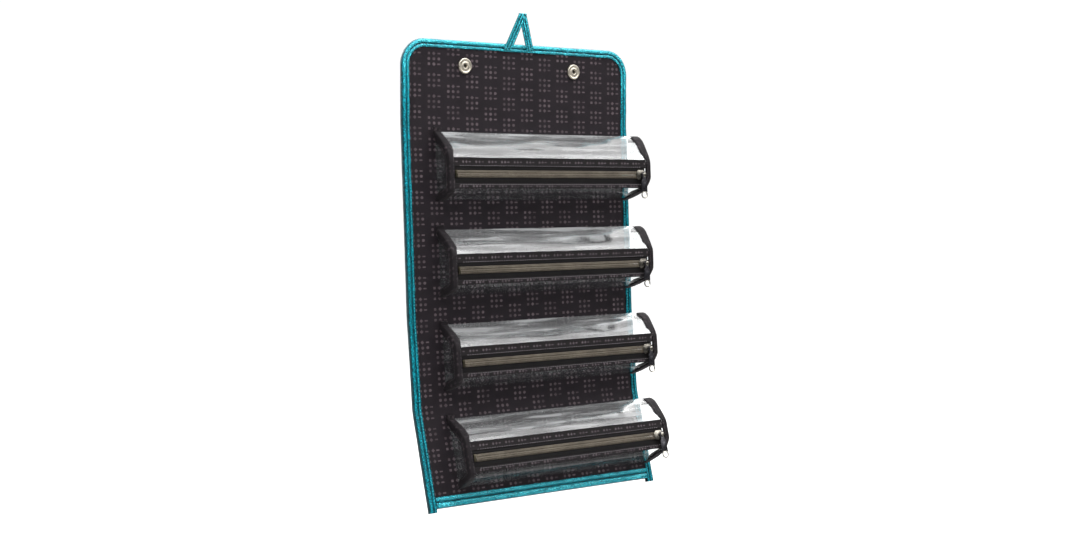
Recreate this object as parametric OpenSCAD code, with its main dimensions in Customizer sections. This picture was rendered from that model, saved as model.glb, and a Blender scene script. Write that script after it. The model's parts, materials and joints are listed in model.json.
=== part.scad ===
// Hanging roll-up jewelry case with four clear zip pouches.
// X runs along the width, Z up, the pouches face -Y. The origin is on the
// hook's axis in the hanging loop's eye, hook_h above the middle of the
// panel's top edge, in the plane of the lining's face.

/* [Panel] */
// Width of the open case over its side bindings, mm
case_w = 300; // [298:1:306]
// Height of the flap above the first fold, mm
flap_len = 85; // [84:1:90]
// Height of section 1, from fold 1 to fold 2, mm
section_1_len = 103; // [103:0.5:106]
// Height of section 2, from fold 2 to fold 3, mm
section_2_len = 100; // [99:0.5:104]
// Height of section 3, from fold 3 to fold 4, mm
section_3_len = 93.5; // [93:0.5:95]
// Height of section 4, from fold 4 to the bottom edge, mm
section_4_len = 98.5; // [96:0.5:102]
// Radius of the flap's two top corners, mm
corner_r = 28; // [22:1:34]
// Thickness of the printed lining, mm
lining_t = 0.8; // [0.5:0.1:1]
// Thickness of the foam padding, mm
padding_t = 1.7; // [1.2:0.1:2]
// Thickness of the outer shell, mm
shell_t = 0.8; // [0.6:0.1:1]

/* [Binding] */
// Width of the side and top binding on each face of the panel, mm
bind_w = 9; // [8:0.5:12]
// Width of the bottom binding on each face of the panel, mm
bottom_bind_w = 12; // [10:0.5:13]
// Thickness of the folded binding, mm
bind_t = 1.5; // [1.2:0.1:1.6]
// Length of the side bindings' ends below the bottom edge, mm
bind_tail = 5; // [3:0.5:7]

/* [Folds] */
// Distance of the fold axes in front of the lining, mm
fold_depth = 7; // [6.5:0.5:8]
// Gap between neighbouring sections at a fold, mm
fold_gap = 1.6; // [1:0.1:2.4]
// Forward curl of section 1 against the flap while the case hangs, degrees
curl_1 = 3; // [0:0.5:4]
// Forward curl of section 3 against section 2, degrees
curl_3 = 3; // [0:0.5:4]
// Forward curl of section 4 against section 3, degrees
curl_4 = 10; // [0:0.5:12]

/* [Pouches] */
// Length of a pouch over its end bindings, mm
pouch_len = 270; // [240:1:271]
// Distance of the pouches' middle to the right of the panel's middle, mm
pouch_shift = 21.5; // [10:0.5:21.5]
// Height of pouch 1 on the panel, mm
pouch_1_h = 71; // [67:0.5:71]
// Height of pouch 2 on the panel, mm
pouch_2_h = 68.5; // [67:0.5:68.5]
// Height of pouch 3 on the panel, mm
pouch_3_h = 67; // [66.5:0.5:67.5]
// Height of pouch 4 on the panel, mm
pouch_4_h = 71; // [67:0.5:71]
// Depth of a pouch in front of the lining, mm
pouch_d = 29; // [26:0.5:29]
// Thickness of the clear vinyl, mm
vinyl_t = 0.5; // [0.3:0.1:0.6]
// Width of the binding on a pouch's end panel, mm
end_bind_w = 5.5; // [4.5:0.5:6]
// Width of the end binding on a pouch's front, mm
end_rim_w = 6.2; // [5:0.1:7]

/* [Zips] */
// Width of the closed coil, mm
coil_w = 8.5; // [7:0.1:8.8]
// Height of the coil in front of its tape, mm
coil_t = 1.6; // [1.3:0.1:1.6]
// Length of the slider, mm
slider_l = 12.4; // [11:0.1:13]
// Length of the pull tab from its pivot to its tip, mm
pull_l = 26.5; // [22:0.5:26.5]
// Width of the pull tab, mm
pull_w = 8.2; // [7:0.1:9]
// Radius of the pull's pivot post, mm
pivot_r = 1.2; // [1:0.05:1.3]
// Running clearance round the pivot post, mm
pivot_gap = 0.08; // [0.05:0.01:0.1]

/* [Snaps and loop] */
// Distance of each snap from the middle, mm
snap_x = 72.5; // [60:0.5:90]
// Distance of the snap sockets below the top edge, mm
snap_drop = 26.5; // [22:0.5:30]
// Radius of a snap socket's rim, mm
socket_r = 8.2; // [7:0.1:9]
// Width of the hanging loop's strap, mm
loop_w = 9.8; // [8:0.1:10]
// Height of the loop above the top edge, mm
loop_h = 33; // [30:1:36]
// Height of the hook's axis above the top edge, mm
hook_h = 10; // [8:1:12]

/* [Hidden] */

teal = [0.03, 0.58, 0.62];
lining_c = [0.15, 0.13, 0.15];
foam_c = [0.75, 0.75, 0.72];
clear_c = [0.88, 0.93, 0.95, 0.35];
black_c = [0.09, 0.08, 0.09];
coil_c = [0.43, 0.41, 0.33];
nickel_c = [0.75, 0.74, 0.70];
gun_c = [0.2, 0.2, 0.21];

g = 0.1;                              // clearance between neighbouring pieces
panel_t = lining_t + padding_t + shell_t + 2 * g;
case_h = flap_len + section_1_len + section_2_len + section_3_len + section_4_len;
z_fold = [case_h, case_h - flap_len, section_2_len + section_3_len + section_4_len,
    section_3_len + section_4_len, section_4_len, 0];
// distance of each pouch's top edge below its section's fold
pouch_drop = [0, 11, 9.5, section_3_len - pouch_3_h - 19, 11];
pouch_hs = [0, pouch_1_h, pouch_2_h, pouch_3_h, pouch_4_h];
x_l = pouch_shift - pouch_len / 2;
x_r = pouch_shift + pouch_len / 2;
// top and bottom of the zip band and the middle of the coil, below the pouch's top
function band_a(n) = pouch_hs[n] - 41;
function band_b(n) = pouch_hs[n] - 11.5;
function coil_s(n) = band_a(n) + 14.75;
tape_t = 0.6;
slit = 0.5;                           // half the slit between the coil's two halves
zip_l = x_l + end_rim_w + 0.4;
zip_r = x_r - end_rim_w - 0.4;
coil_l = zip_l + 2.6;
coil_r = zip_r - 1.6;
slider_x = coil_r - slider_l / 2 - 0.1;
pull_x = slider_x + 3.5;
coil_y = -pouch_d - g - coil_t;       // front of the coil
plate_y = coil_y - 0.2 - 1.3;         // front of the slider's top plate
// the studs meet the sockets when the case is rolled up
stud_z = section_4_len - section_2_len + flap_len - snap_drop;

function pouch_z(n) = z_fold[n] - pouch_drop[n];
function coil_z(n) = pouch_z(n) - coil_s(n);

// the modules draw from the panel's bottom edge; this moves that to below the hook
module hung() translate([0, 0, -case_h - hook_h]) children();

// moves children with a section as the hanging case curls
module bend(n, a) {
    translate([0, -fold_depth, z_fold[n]]) rotate([-a, 0, 0])
        translate([0, fold_depth, -z_fold[n]]) children();
}
module at_section(n) {
    if (n < 1) children();
    else if (n < 3) bend(1, curl_1) children();
    else if (n == 3) bend(1, curl_1) bend(3, curl_3) children();
    else bend(1, curl_1) bend(3, curl_3) bend(4, curl_4) children();
}

// a plate from a shape drawn in X and Z, from y0 to y0 + t
module plate(y0, t) {
    translate([0, y0 + t, 0]) rotate([90, 0, 0]) linear_extrude(height = t) children();
}
// a bar along X from a shape drawn in Y and Z
module along_x(x0, x1) {
    translate([x0, 0, 0]) rotate([90, 0, 90]) linear_extrude(height = x1 - x0) children();
}
module block(x0, x1, y0, y1, z0, z1) {
    translate([x0, y0, z0]) cube([x1 - x0, y1 - y0, z1 - z0]);
}

// ---- the panel: flap and four sections ----

module flap_outline(inset, z0) {
    r = corner_r - inset;
    translate([-case_w / 2 + inset, z0])
        square([case_w - 2 * inset, case_h - corner_r - z0]);
    translate([-case_w / 2 + corner_r, z0])
        square([case_w - 2 * corner_r, case_h - inset - z0]);
    for (s = [-1, 1]) translate([s * (case_w / 2 - corner_r), case_h - corner_r])
        circle(r = r, $fn = 96);
}
module section_outline(n, inset, z0) {
    translate([-case_w / 2 + inset, z0])
        square([case_w - 2 * inset, z_fold[n] - fold_gap / 2 - z0]);
}
module flap_layer(y0, t) {
    plate(y0, t) difference() {
        flap_outline(bind_t + g, z_fold[1] + fold_gap / 2);
        for (s = [-1, 1]) translate([s * snap_x, case_h - snap_drop]) circle(r = 3.6, $fn = 48);
    }
}
module section_layer(n, y0, t) {
    z0 = n == 4 ? 0 : z_fold[n + 1] + fold_gap / 2;
    at_section(n) plate(y0, t) difference() {
        section_outline(n, bind_t + g, z0);
        if (n == 4) for (s = [-1, 1]) translate([s * snap_x, stud_z]) circle(r = 2.2, $fn = 48);
    }
}
module flap_outer_shell() color(teal) flap_layer(lining_t + padding_t + 2 * g, shell_t);
module flap_padding() color(foam_c) flap_layer(lining_t + g, padding_t);
module flap_lining() color(lining_c) flap_layer(0, lining_t);
module section_outer_shell(n) color(teal) section_layer(n, lining_t + padding_t + 2 * g, shell_t);
module section_padding(n) color(foam_c) section_layer(n, lining_t + g, padding_t);
module section_lining(n) color(lining_c) section_layer(n, 0, lining_t);

// the binding folds over the panel's edge and lies on both faces
module flap_binding() color(teal) difference() {
    plate(-g - bind_t, panel_t + 2 * g + 2 * bind_t) difference() {
        flap_outline(0, z_fold[1] + fold_gap / 2);
        flap_outline(bind_w, z_fold[1] - 10);
    }
    plate(-g, panel_t + 2 * g) flap_outline(bind_t, z_fold[1] - 10);
}
module side_binding(z0, z1, slot_z) {
    difference() {
        block(-case_w / 2, -case_w / 2 + bind_w, -g - bind_t, panel_t + g + bind_t, z0, z1);
        block(-case_w / 2 + bind_t, case_w, -g, panel_t + g, slot_z, z1 + 10);
    }
}
module section_side_bindings(n) {
    z0 = n == 4 ? -bind_tail : z_fold[n + 1] + fold_gap / 2;
    color(teal) at_section(n) for (m = [0, 1]) mirror([m, 0, 0])
        side_binding(z0, z_fold[n] - fold_gap / 2, n == 4 ? -g : z0 - 10);
}
module bottom_binding() {
    xb = case_w / 2 - bind_w - 2 * g;
    color(teal) at_section(4) difference() {
        block(-xb, xb, -g - bind_t, panel_t + g + bind_t, -g - bind_t, bottom_bind_w - 1);
        block(-xb - 1, xb + 1, -g, panel_t + g, -g, bottom_bind_w + 10);
    }
}

// a flat strap folded over at the top, sewn to the front of the top binding
module leg(x0, x1, z0, z1) {
    a = atan2(x1 - x0, z1 - z0);
    translate([x0, z0]) rotate(-a) translate([-loop_w / 2, 0])
        square([loop_w, norm([x1 - x0, z1 - z0])]);
}
module hanging_loop() {
    color(teal) plate(-2 * g - 2 * bind_t, bind_t) intersection() {
        union() {
            leg(-18.5, 1, case_h - 7.5, case_h + loop_h - 3);
            leg(12, 3, case_h - 7.5, case_h + loop_h - 3);
            translate([2, case_h + loop_h - 5]) circle(r = 5, $fn = 32);
        }
        translate([-40, case_h - 6.5]) square([80, loop_h + 6.5]);
    }
}

// ---- snaps: the sockets are on the flap, the studs on the back of section 4 ----

module turned(x, z) {
    translate([x, 0, z]) rotate([-90, 0, 0]) rotate_extrude($fn = 64) children();
}
module snap_sockets() {
    color(nickel_c) for (s = [-1, 1]) turned(s * snap_x, case_h - snap_drop) polygon([
        [2.1, -g - 2.2], [4.2, -g - 2.2], [4.9, -g - 1.6], [6.4, -g - 1.6], [7.0, -g - 2.4],
        [7.8, -g - 2.4], [socket_r, -g - 1.8], [socket_r, -g], [3.4, -g],
        [3.4, panel_t + g], [7.4, panel_t + g], [7.4, panel_t + g + 0.7],
        [6.6, panel_t + g + 1.2], [0, panel_t + g + 1.2], [0, panel_t - 0.4], [2.1, panel_t - 0.4]]);
}
module snap_studs() {
    b = panel_t + g;
    color(nickel_c) at_section(4) for (s = [-1, 1]) turned(s * snap_x, stud_z) polygon([
        [0, -g - 1], [4.6, -g - 1], [5.2, -g - 0.6], [5.2, -g], [2, -g], [2, b],
        [5.8, b], [5.8, b + 0.8], [5.2, b + 1.2], [1.5, b + 1.2], [1.5, b + 2.6],
        [1.88, b + 3.0], [1.88, b + 4.1], [1.4, b + 4.6], [0, b + 4.6]]);
}

// ---- the pouches ----

// outline of a pouch's end, in Y and Z, from its top back corner round to its bottom one
function end_points(n) = let (z = pouch_z(n), b = 2.3, d = pouch_d - 2.3, h = pouch_hs[n],
    k = (band_a(n) + 1) / 27) [
    [-b, z], [-b - 0.42 * d, z - 7 * k], [-b - 0.74 * d, z - 14.5 * k], [-b - 0.92 * d, z - 21 * k],
    [-pouch_d, z - 27 * k], [-pouch_d, z - h + 12], [-b - 0.72 * d, z - h + 6], [-b, z - h]];
function side_of(a, b) = let (d = b - a) [d[1], -d[0]] / norm(d);
function shifted(p, o) = [for (i = [0 : len(p) - 1])
    let (m = len(p) - 1,
        n1 = i > 0 ? side_of(p[i - 1], p[i]) : side_of(p[0], p[1]),
        n2 = i < m ? side_of(p[i], p[i + 1]) : side_of(p[m - 1], p[m]))
    p[i] + (n1 + n2) * o / (1 + n1 * n2)];
function back_to_front(p) = [for (i = [len(p) - 1 : -1 : 0]) p[i]];
// a bent sheet whose faces are shifted by o1 and o2 from the line p
module sheet(p, o1, o2) {
    polygon(concat(shifted(p, o1), back_to_front(shifted(p, o2))));
}

module pouch_vinyl(n) {
    p = end_points(n);
    z = pouch_z(n);
    h = pouch_hs[n];
    top_line = [p[0], p[1], p[2], p[3], p[4], [-pouch_d, p[4][1] - 0.6]];
    low_line = [[-pouch_d, z - h + 12.5], p[5], p[6], p[7]];
    color(clear_c) at_section(n) along_x(x_l + 2, x_r - 2) {
        sheet(top_line, 0, -vinyl_t);
        sheet(low_line, 0, -vinyl_t);
        translate([-2.2, z - h + 1.2]) square([0.4, h - 2.4]);
    }
}
module pouch_end_panels(n) {
    color(clear_c) at_section(n) for (x = [x_l + 1.4, x_r - 1.9])
        along_x(x, x + 0.5) polygon(end_points(n));
}
module pouch_end_bindings(n) {
    p = end_points(n);
    color(black_c) at_section(n) for (e = [[x_l, x_l + 1.3, x_l, x_l + end_rim_w],
        [x_r - 1.3, x_r, x_r - end_rim_w, x_r]]) {
        along_x(e[0], e[1]) difference() {
            polygon(shifted(p, 1.3));
            polygon(shifted(p, -end_bind_w));
        }
        along_x(e[2], e[3]) sheet(p, 1.3, 0.1);
    }
}
module pouch_zip_facings(n) {
    z = pouch_z(n);
    color(lining_c) at_section(n) {
        block(zip_l, zip_r, -pouch_d - 0.7, -pouch_d - 0.1, z - band_a(n) - 7, z - band_a(n));
        block(zip_l, zip_r, -pouch_d - 0.7, -pouch_d - 0.1, z - band_b(n), z - band_b(n) + 5);
    }
}
module pouch_zip_tapes(n) {
    z = pouch_z(n);
    c = coil_z(n);
    color(black_c) at_section(n) {
        block(zip_l, zip_r, -pouch_d, -pouch_d + tape_t, c + slit, z - band_a(n) - 2);
        block(zip_l, zip_r, -pouch_d, -pouch_d + tape_t, z - pouch_hs[n] + 13, c - slit);
    }
}
module pouch_zip_coil(n) {
    c = coil_z(n);
    color(coil_c) at_section(n) for (m = [0, 1]) translate([0, 0, c]) mirror([0, 0, m])
        block(coil_l, coil_r, coil_y, -pouch_d - g, slit, coil_w / 2);
}
module pouch_zip_stops(n) {
    c = coil_z(n);
    color(nickel_c) at_section(n) {
        block(zip_l + 0.1, coil_l - 0.2, coil_y - 0.3, -pouch_d - g, c - coil_w / 2 + 0.3, c + coil_w / 2 - 0.3);
        for (m = [0, 1]) translate([0, 0, c]) mirror([0, 0, m])
            block(coil_r + 0.2, zip_r - 0.1, coil_y - 0.3, -pouch_d - g, slit + 0.1, coil_w / 2 - 0.3);
    }
}
// top plate with side flanges, a thin blade that runs in the slit, and the back plate
module zip_slider(n) {
    c = coil_z(n);
    l = slider_l / 2;
    w = coil_w / 2 + 1;
    color(nickel_c) at_section(n) translate([slider_x, 0, c]) {
        plate(plate_y, 1.3) polygon([[-l, -w + 2], [-l + 2, -w], [l - 1.5, -w], [l, -w + 1.5],
            [l, w - 1.5], [l - 1.5, w], [-l + 2, w], [-l, w - 2]]);
        for (m = [0, 1]) mirror([0, 0, m])
            block(-l + 2, l - 2, plate_y + 1.2, -pouch_d - 0.5, w - 0.75, w);
        block(0.5, 4.5, plate_y + 1.2, -pouch_d + tape_t + 0.3, -0.3, 0.3);
        plate(-pouch_d + tape_t + 0.2, 1) polygon([[-l + 1, -3], [-l + 2.5, -w + 0.8],
            [l - 1, -w + 0.8], [l - 1, w - 0.8], [-l + 2.5, w - 0.8], [-l + 1, 3]]);
        translate([pull_x - slider_x, plate_y, 0]) rotate([90, 0, 0]) {
            translate([0, 0, -0.2]) cylinder(h = 2.2, r = pivot_r, $fn = 48);
            translate([0, 0, 2]) cylinder(h = 0.8, r = pivot_r + 1.2, $fn = 48);
        }
    }
}
module zip_pull(n) {
    color(gun_c) at_section(n) translate([pull_x, 0, coil_z(n)]) plate(plate_y - 1.6, 1.2)
        difference() {
            union() {
                circle(r = 3.3, $fn = 64);
                translate([-2.6, -7]) square([5.2, 7]);
                translate([-pull_w / 2, -pull_l + 4.3]) square([pull_w, pull_l - 10.3]);
                translate([0, -pull_l + 4.3]) circle(r = 4.3, $fn = 64);
            }
            circle(r = pivot_r + pivot_gap, $fn = 64);
            translate([0, -pull_l + 4.3]) circle(r = 3.1, $fn = 64);
        }
}

hung() flap_outer_shell();
hung() flap_padding();
hung() flap_lining();
hung() flap_binding();
hung() hanging_loop();
hung() snap_sockets();
hung() section_outer_shell(1);  // section_1_outer_shell
hung() section_padding(1);  // section_1_padding
hung() section_lining(1);  // section_1_lining
hung() section_side_bindings(1);  // section_1_side_bindings
hung() section_outer_shell(2);  // section_2_outer_shell
hung() section_padding(2);  // section_2_padding
hung() section_lining(2);  // section_2_lining
hung() section_side_bindings(2);  // section_2_side_bindings
hung() section_outer_shell(3);  // section_3_outer_shell
hung() section_padding(3);  // section_3_padding
hung() section_lining(3);  // section_3_lining
hung() section_side_bindings(3);  // section_3_side_bindings
hung() section_outer_shell(4);  // section_4_outer_shell
hung() section_padding(4);  // section_4_padding
hung() section_lining(4);  // section_4_lining
hung() section_side_bindings(4);  // section_4_side_bindings
hung() bottom_binding();
hung() snap_studs();
hung() pouch_vinyl(1);  // pouch_1_vinyl
hung() pouch_end_panels(1);  // pouch_1_end_panels
hung() pouch_end_bindings(1);  // pouch_1_end_bindings
hung() pouch_zip_facings(1);  // pouch_1_zip_facings
hung() pouch_zip_tapes(1);  // pouch_1_zip_tapes
hung() pouch_zip_coil(1);  // pouch_1_zip_coil
hung() pouch_zip_stops(1);  // pouch_1_zip_stops
hung() zip_slider(1);  // pouch_1_slider
hung() zip_pull(1);  // pouch_1_pull
hung() pouch_vinyl(2);  // pouch_2_vinyl
hung() pouch_end_panels(2);  // pouch_2_end_panels
hung() pouch_end_bindings(2);  // pouch_2_end_bindings
hung() pouch_zip_facings(2);  // pouch_2_zip_facings
hung() pouch_zip_tapes(2);  // pouch_2_zip_tapes
hung() pouch_zip_coil(2);  // pouch_2_zip_coil
hung() pouch_zip_stops(2);  // pouch_2_zip_stops
hung() zip_slider(2);  // pouch_2_slider
hung() zip_pull(2);  // pouch_2_pull
hung() pouch_vinyl(3);  // pouch_3_vinyl
hung() pouch_end_panels(3);  // pouch_3_end_panels
hung() pouch_end_bindings(3);  // pouch_3_end_bindings
hung() pouch_zip_facings(3);  // pouch_3_zip_facings
hung() pouch_zip_tapes(3);  // pouch_3_zip_tapes
hung() pouch_zip_coil(3);  // pouch_3_zip_coil
hung() pouch_zip_stops(3);  // pouch_3_zip_stops
hung() zip_slider(3);  // pouch_3_slider
hung() zip_pull(3);  // pouch_3_pull
hung() pouch_vinyl(4);  // pouch_4_vinyl
hung() pouch_end_panels(4);  // pouch_4_end_panels
hung() pouch_end_bindings(4);  // pouch_4_end_bindings
hung() pouch_zip_facings(4);  // pouch_4_zip_facings
hung() pouch_zip_tapes(4);  // pouch_4_zip_tapes
hung() pouch_zip_coil(4);  // pouch_4_zip_coil
hung() pouch_zip_stops(4);  // pouch_4_zip_stops
hung() zip_slider(4);  // pouch_4_slider
hung() zip_pull(4);  // pouch_4_pull
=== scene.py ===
import json
import math
import bmesh
import bpy
import numpy as np
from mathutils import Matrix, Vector


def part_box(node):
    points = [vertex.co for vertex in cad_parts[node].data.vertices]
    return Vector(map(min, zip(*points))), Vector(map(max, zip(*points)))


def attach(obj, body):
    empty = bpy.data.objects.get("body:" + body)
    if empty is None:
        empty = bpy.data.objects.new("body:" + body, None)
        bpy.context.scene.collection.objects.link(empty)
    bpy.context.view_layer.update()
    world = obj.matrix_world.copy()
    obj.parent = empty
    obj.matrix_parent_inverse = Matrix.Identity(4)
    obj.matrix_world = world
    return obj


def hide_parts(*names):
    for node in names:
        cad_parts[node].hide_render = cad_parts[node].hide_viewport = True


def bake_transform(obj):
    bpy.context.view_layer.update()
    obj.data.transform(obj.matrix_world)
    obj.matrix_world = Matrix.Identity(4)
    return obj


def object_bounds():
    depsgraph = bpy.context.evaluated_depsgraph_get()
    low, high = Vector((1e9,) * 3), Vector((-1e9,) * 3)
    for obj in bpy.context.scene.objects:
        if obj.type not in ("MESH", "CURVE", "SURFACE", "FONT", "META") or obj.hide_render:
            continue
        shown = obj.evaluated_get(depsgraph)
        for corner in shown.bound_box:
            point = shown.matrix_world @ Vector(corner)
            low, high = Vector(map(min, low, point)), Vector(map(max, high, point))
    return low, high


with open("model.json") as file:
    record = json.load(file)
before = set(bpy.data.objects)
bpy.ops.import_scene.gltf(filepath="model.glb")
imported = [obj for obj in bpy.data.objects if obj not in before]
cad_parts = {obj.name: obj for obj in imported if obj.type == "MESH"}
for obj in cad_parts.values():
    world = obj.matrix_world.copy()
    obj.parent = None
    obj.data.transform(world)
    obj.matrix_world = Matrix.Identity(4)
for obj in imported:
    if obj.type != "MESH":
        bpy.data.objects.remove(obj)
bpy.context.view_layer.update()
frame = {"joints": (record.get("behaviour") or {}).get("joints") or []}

SCENE = bpy.context.scene
MM = 0.001

# ------------------------------------------------------------------ the frame
# Everything is drawn flat, in mm, from the panel's bottom edge (X width, Y depth
# with the pouches at -Y, Z up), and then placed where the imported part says.
J = {j["name"]: j for j in frame["joints"]}
CASE_H = 480.0
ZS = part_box("flap_binding")[1].z - CASE_H * MM          # height of the bottom edge in the row frame
HALF_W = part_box("flap_binding")[1].x / MM               # 150
AXIS_Y = J["fold_1"]["pos_m"][1] / MM                   # fold axes, in front of the lining
TOTAL = {0: 0.0}
for n in (1, 2, 3, 4):
    a = J["pull_%d_swing" % n]["axis"]
    TOTAL[n] = math.atan2(-a[2], a[1])
CURL = {k: TOTAL[k] - TOTAL[k - 1] for k in (1, 2, 3, 4)}


def turn(y, z, F, ang):
    dy, dz = y - AXIS_Y, z - F
    return AXIS_Y + dy * np.cos(ang) + dz * np.sin(ang), F - dy * np.sin(ang) + dz * np.cos(ang)


def unplace(y, z, n, ZF):
    for k in range(1, n + 1):
        dy, dz = y - AXIS_Y, z - ZF[k]
        c, s = math.cos(-CURL[k]), math.sin(-CURL[k])
        y, z = AXIS_Y + dy * c + dz * s, ZF[k] - dy * s + dz * c
    return y, z


ZF = {1: 0.0, 2: 0.0, 3: 0.0, 4: 0.0}
for k in (1, 2, 3, 4):
    _y, _z = J["fold_%d" % k]["pos_m"][1] / MM, (J["fold_%d" % k]["pos_m"][2] - ZS) / MM
    ZF[k] = unplace(_y, _z, k - 1, ZF)[1]
SOFT = 14.0                                             # half height of the cloth that bends at a fold


def cloth_map(P):
    """Flat mm to row frame metres, bending smoothly at the folds."""
    P = np.asarray(P, float)
    x, y, z = P[:, 0], P[:, 1].copy(), P[:, 2].copy()
    z0 = z.copy()
    for k in (4, 3, 2, 1):
        t = np.clip((ZF[k] + SOFT - z0) / (2 * SOFT), 0, 1)
        y, z = turn(y, z, ZF[k], t * t * (3 - 2 * t) * CURL[k])
    return np.stack([x * MM, y * MM, z * MM + ZS], 1)


def place_map(n):
    """Flat mm to row frame metres for a rigid piece on section n (0 is the flap)."""
    def f(P):
        P = np.asarray(P, float)
        y, z = P[:, 1].copy(), P[:, 2].copy()
        for k in range(n, 0, -1):
            y, z = turn(y, z, ZF[k], CURL[k])
        return np.stack([P[:, 0] * MM, y * MM, z * MM + ZS], 1)
    return f


BODY = {0: "flap", 1: "section_1", 2: "section_2", 3: "section_3", 4: "section_4"}
# the panel's cloth is one strip per fold, cut behind the pouches
CUTS = [CASE_H + 60, (ZF[1] + ZF[2]) / 2, (ZF[2] + ZF[3]) / 2, (ZF[3] + ZF[4]) / 2, -60.0]
STRIP = {1: (CUTS[1], CUTS[0]), 2: (CUTS[2], CUTS[1]), 3: (CUTS[3], CUTS[2]), 4: (CUTS[4], CUTS[3])}


# ------------------------------------------------------------------ small noise
class Wob:
    """Smooth repeatable noise of one or two numbers."""
    def __init__(self, seed):
        self.t = np.random.RandomState(seed).uniform(-1, 1, (256, 64))

    def __call__(self, a, b=0.0):
        a, b = np.broadcast_arrays(np.asarray(a, float), np.asarray(b, float))
        i, j = np.floor(a).astype(int), np.floor(b).astype(int)
        u, v = a - i, b - j
        u, v = u * u * (3 - 2 * u), v * v * (3 - 2 * v)
        g = lambda p, q: self.t[p % 256, q % 64]
        return (g(i, j) * (1 - u) + g(i + 1, j) * u) * (1 - v) + (g(i, j + 1) * (1 - u) + g(i + 1, j + 1) * u) * v


# ------------------------------------------------------------------ mesh code
def make(name, V, F, mat, mapper, closed=True, sharp=38.0, mat_ids=None, mats=None):
    V = np.asarray(V, float)
    me = bpy.data.meshes.new(name)
    me.from_pydata([tuple(p) for p in mapper(V)], [], [tuple(int(i) for i in f) for f in F])
    at = me.attributes.new("flat", "FLOAT_VECTOR", "POINT")
    at.data.foreach_set("vector", V.astype(np.float32).ravel())
    for m in (mats or [mat]):
        me.materials.append(m)
    if mat_ids is not None:
        me.polygons.foreach_set("material_index", np.asarray(mat_ids, np.int32))
    if closed:
        bm = bmesh.new(); bm.from_mesh(me)
        bmesh.ops.recalc_face_normals(bm, faces=bm.faces)
        bm.to_mesh(me); bm.free()
    me.polygons.foreach_set("use_smooth", [True] * len(me.polygons))
    me.set_sharp_from_angle(angle=math.radians(sharp))
    me.validate()
    me.update()
    ob = bpy.data.objects.new(name, me)
    SCENE.collection.objects.link(ob)
    return ob


class Bag:
    """Collects solids into one mesh."""
    def __init__(self):
        self.V, self.F, self.M, self.n = [], [], [], 0

    def add(self, V, F, m=0):
        V = np.asarray(V, float)
        self.V.append(V)
        for f in F:
            self.F.append([i + self.n for i in f]); self.M.append(m)
        self.n += len(V)

    def make(self, name, mat, mapper, **kw):
        return make(name, np.concatenate(self.V), self.F, mat, mapper, **kw)


def rings(R, cap=True, loop_rings=False):
    """Solid from closed rings of the same number of points: R is (N, K, 3)."""
    R = np.asarray(R, float)
    N, K = R.shape[:2]
    F = []
    for i in range(N if loop_rings else N - 1):
        a, b = i * K, ((i + 1) % N) * K
        for k in range(K):
            F.append([a + k, a + (k + 1) % K, b + (k + 1) % K, b + k])
    if cap and not loop_rings:
        F.append(list(range(K))[::-1]); F.append([(N - 1) * K + k for k in range(K)])
    return R.reshape(-1, 3), F


def grid_faces(N, K, off=0):
    return [[off + i * K + k, off + i * K + k + 1, off + (i + 1) * K + k + 1, off + (i + 1) * K + k]
            for i in range(N - 1) for k in range(K - 1)]


def slab(A, B):
    """Closed solid between two (N, K, 3) grids of points."""
    N, K = A.shape[:2]
    o = N * K
    F = grid_faces(N, K) + [f[::-1] for f in grid_faces(N, K, o)]
    edge = [k for k in range(K)] + [i * K + K - 1 for i in range(1, N)] \
        + [(N - 1) * K + k for k in range(K - 2, -1, -1)] + [i * K for i in range(N - 2, 0, -1)]
    for a, b in zip(edge, edge[1:] + edge[:1]):
        F.append([a, b, b + o, a + o])
    return np.concatenate([A.reshape(-1, 3), B.reshape(-1, 3)]), F


def lathe(profile, x, z, seg=64):
    """Turned solid about an axis along Y through (x, z): profile is (r, y) from axis to axis."""
    R = []
    for r, y in profile:
        a = np.linspace(0, 2 * math.pi, seg, endpoint=False)
        R.append(np.stack([x + max(r, 1e-3) * np.cos(a), np.full(seg, y), z + max(r, 1e-3) * np.sin(a)], 1))
    return rings(R)


def stitch(bag, P, T, N, length=2.3, r=0.32, m=0):
    """One thread stitch at P, along T, standing on a surface with normal N: a small capsule, sunk at its ends."""
    P, T, N = (np.asarray(v, float) for v in (P, T, N))
    T = T / np.linalg.norm(T); N = N - T * (N @ T); N /= np.linalg.norm(N); S = np.cross(T, N)
    rows = []
    for t, s, h in ((-1, 0.35, -0.55), (-0.72, 0.85, -0.05), (0, 1.0, 0.22), (0.72, 0.85, -0.05), (1, 0.35, -0.55)):
        c = P + T * t * length / 2 + N * h * r
        rows.append([c + (S * math.cos(a) + N * math.sin(a) * 0.8) * r * s for a in np.arange(6) * math.pi / 3])
    bag.add(*rings(rows), m=m)


def stitch_row(bag, pts, nrm, pitch=3.2, length=2.2, r=0.3, m=0, seed=1):
    """Stitches along a polyline of (N, 3) points with normals."""
    pts, nrm = np.asarray(pts, float), np.asarray(nrm, float)
    d = np.concatenate([[0], np.cumsum(np.linalg.norm(np.diff(pts, axis=0), axis=1))])
    rs = np.random.RandomState(seed)
    n = int(d[-1] / pitch)
    for i in range(n):
        s = (i + 0.5) * d[-1] / n
        g = lambda A, s: np.array([np.interp(s, d, A[:, c]) for c in range(3)])
        T = g(pts, min(s + 0.6, d[-1])) - g(pts, max(s - 0.6, 0))
        w = rs.uniform(-1, 1, 3)
        stitch(bag, g(pts, s) + w * 0.07, T + w * 0.03, g(nrm, s), length * (1 + 0.06 * w[0]), r, m)


def bezier(p, n):
    p = np.asarray(p, float)
    t = np.linspace(0, 1, n)[:, None]
    return (1 - t) ** 3 * p[0] + 3 * (1 - t) ** 2 * t * p[1] + 3 * (1 - t) * t * t * p[2] + t ** 3 * p[3]


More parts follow.
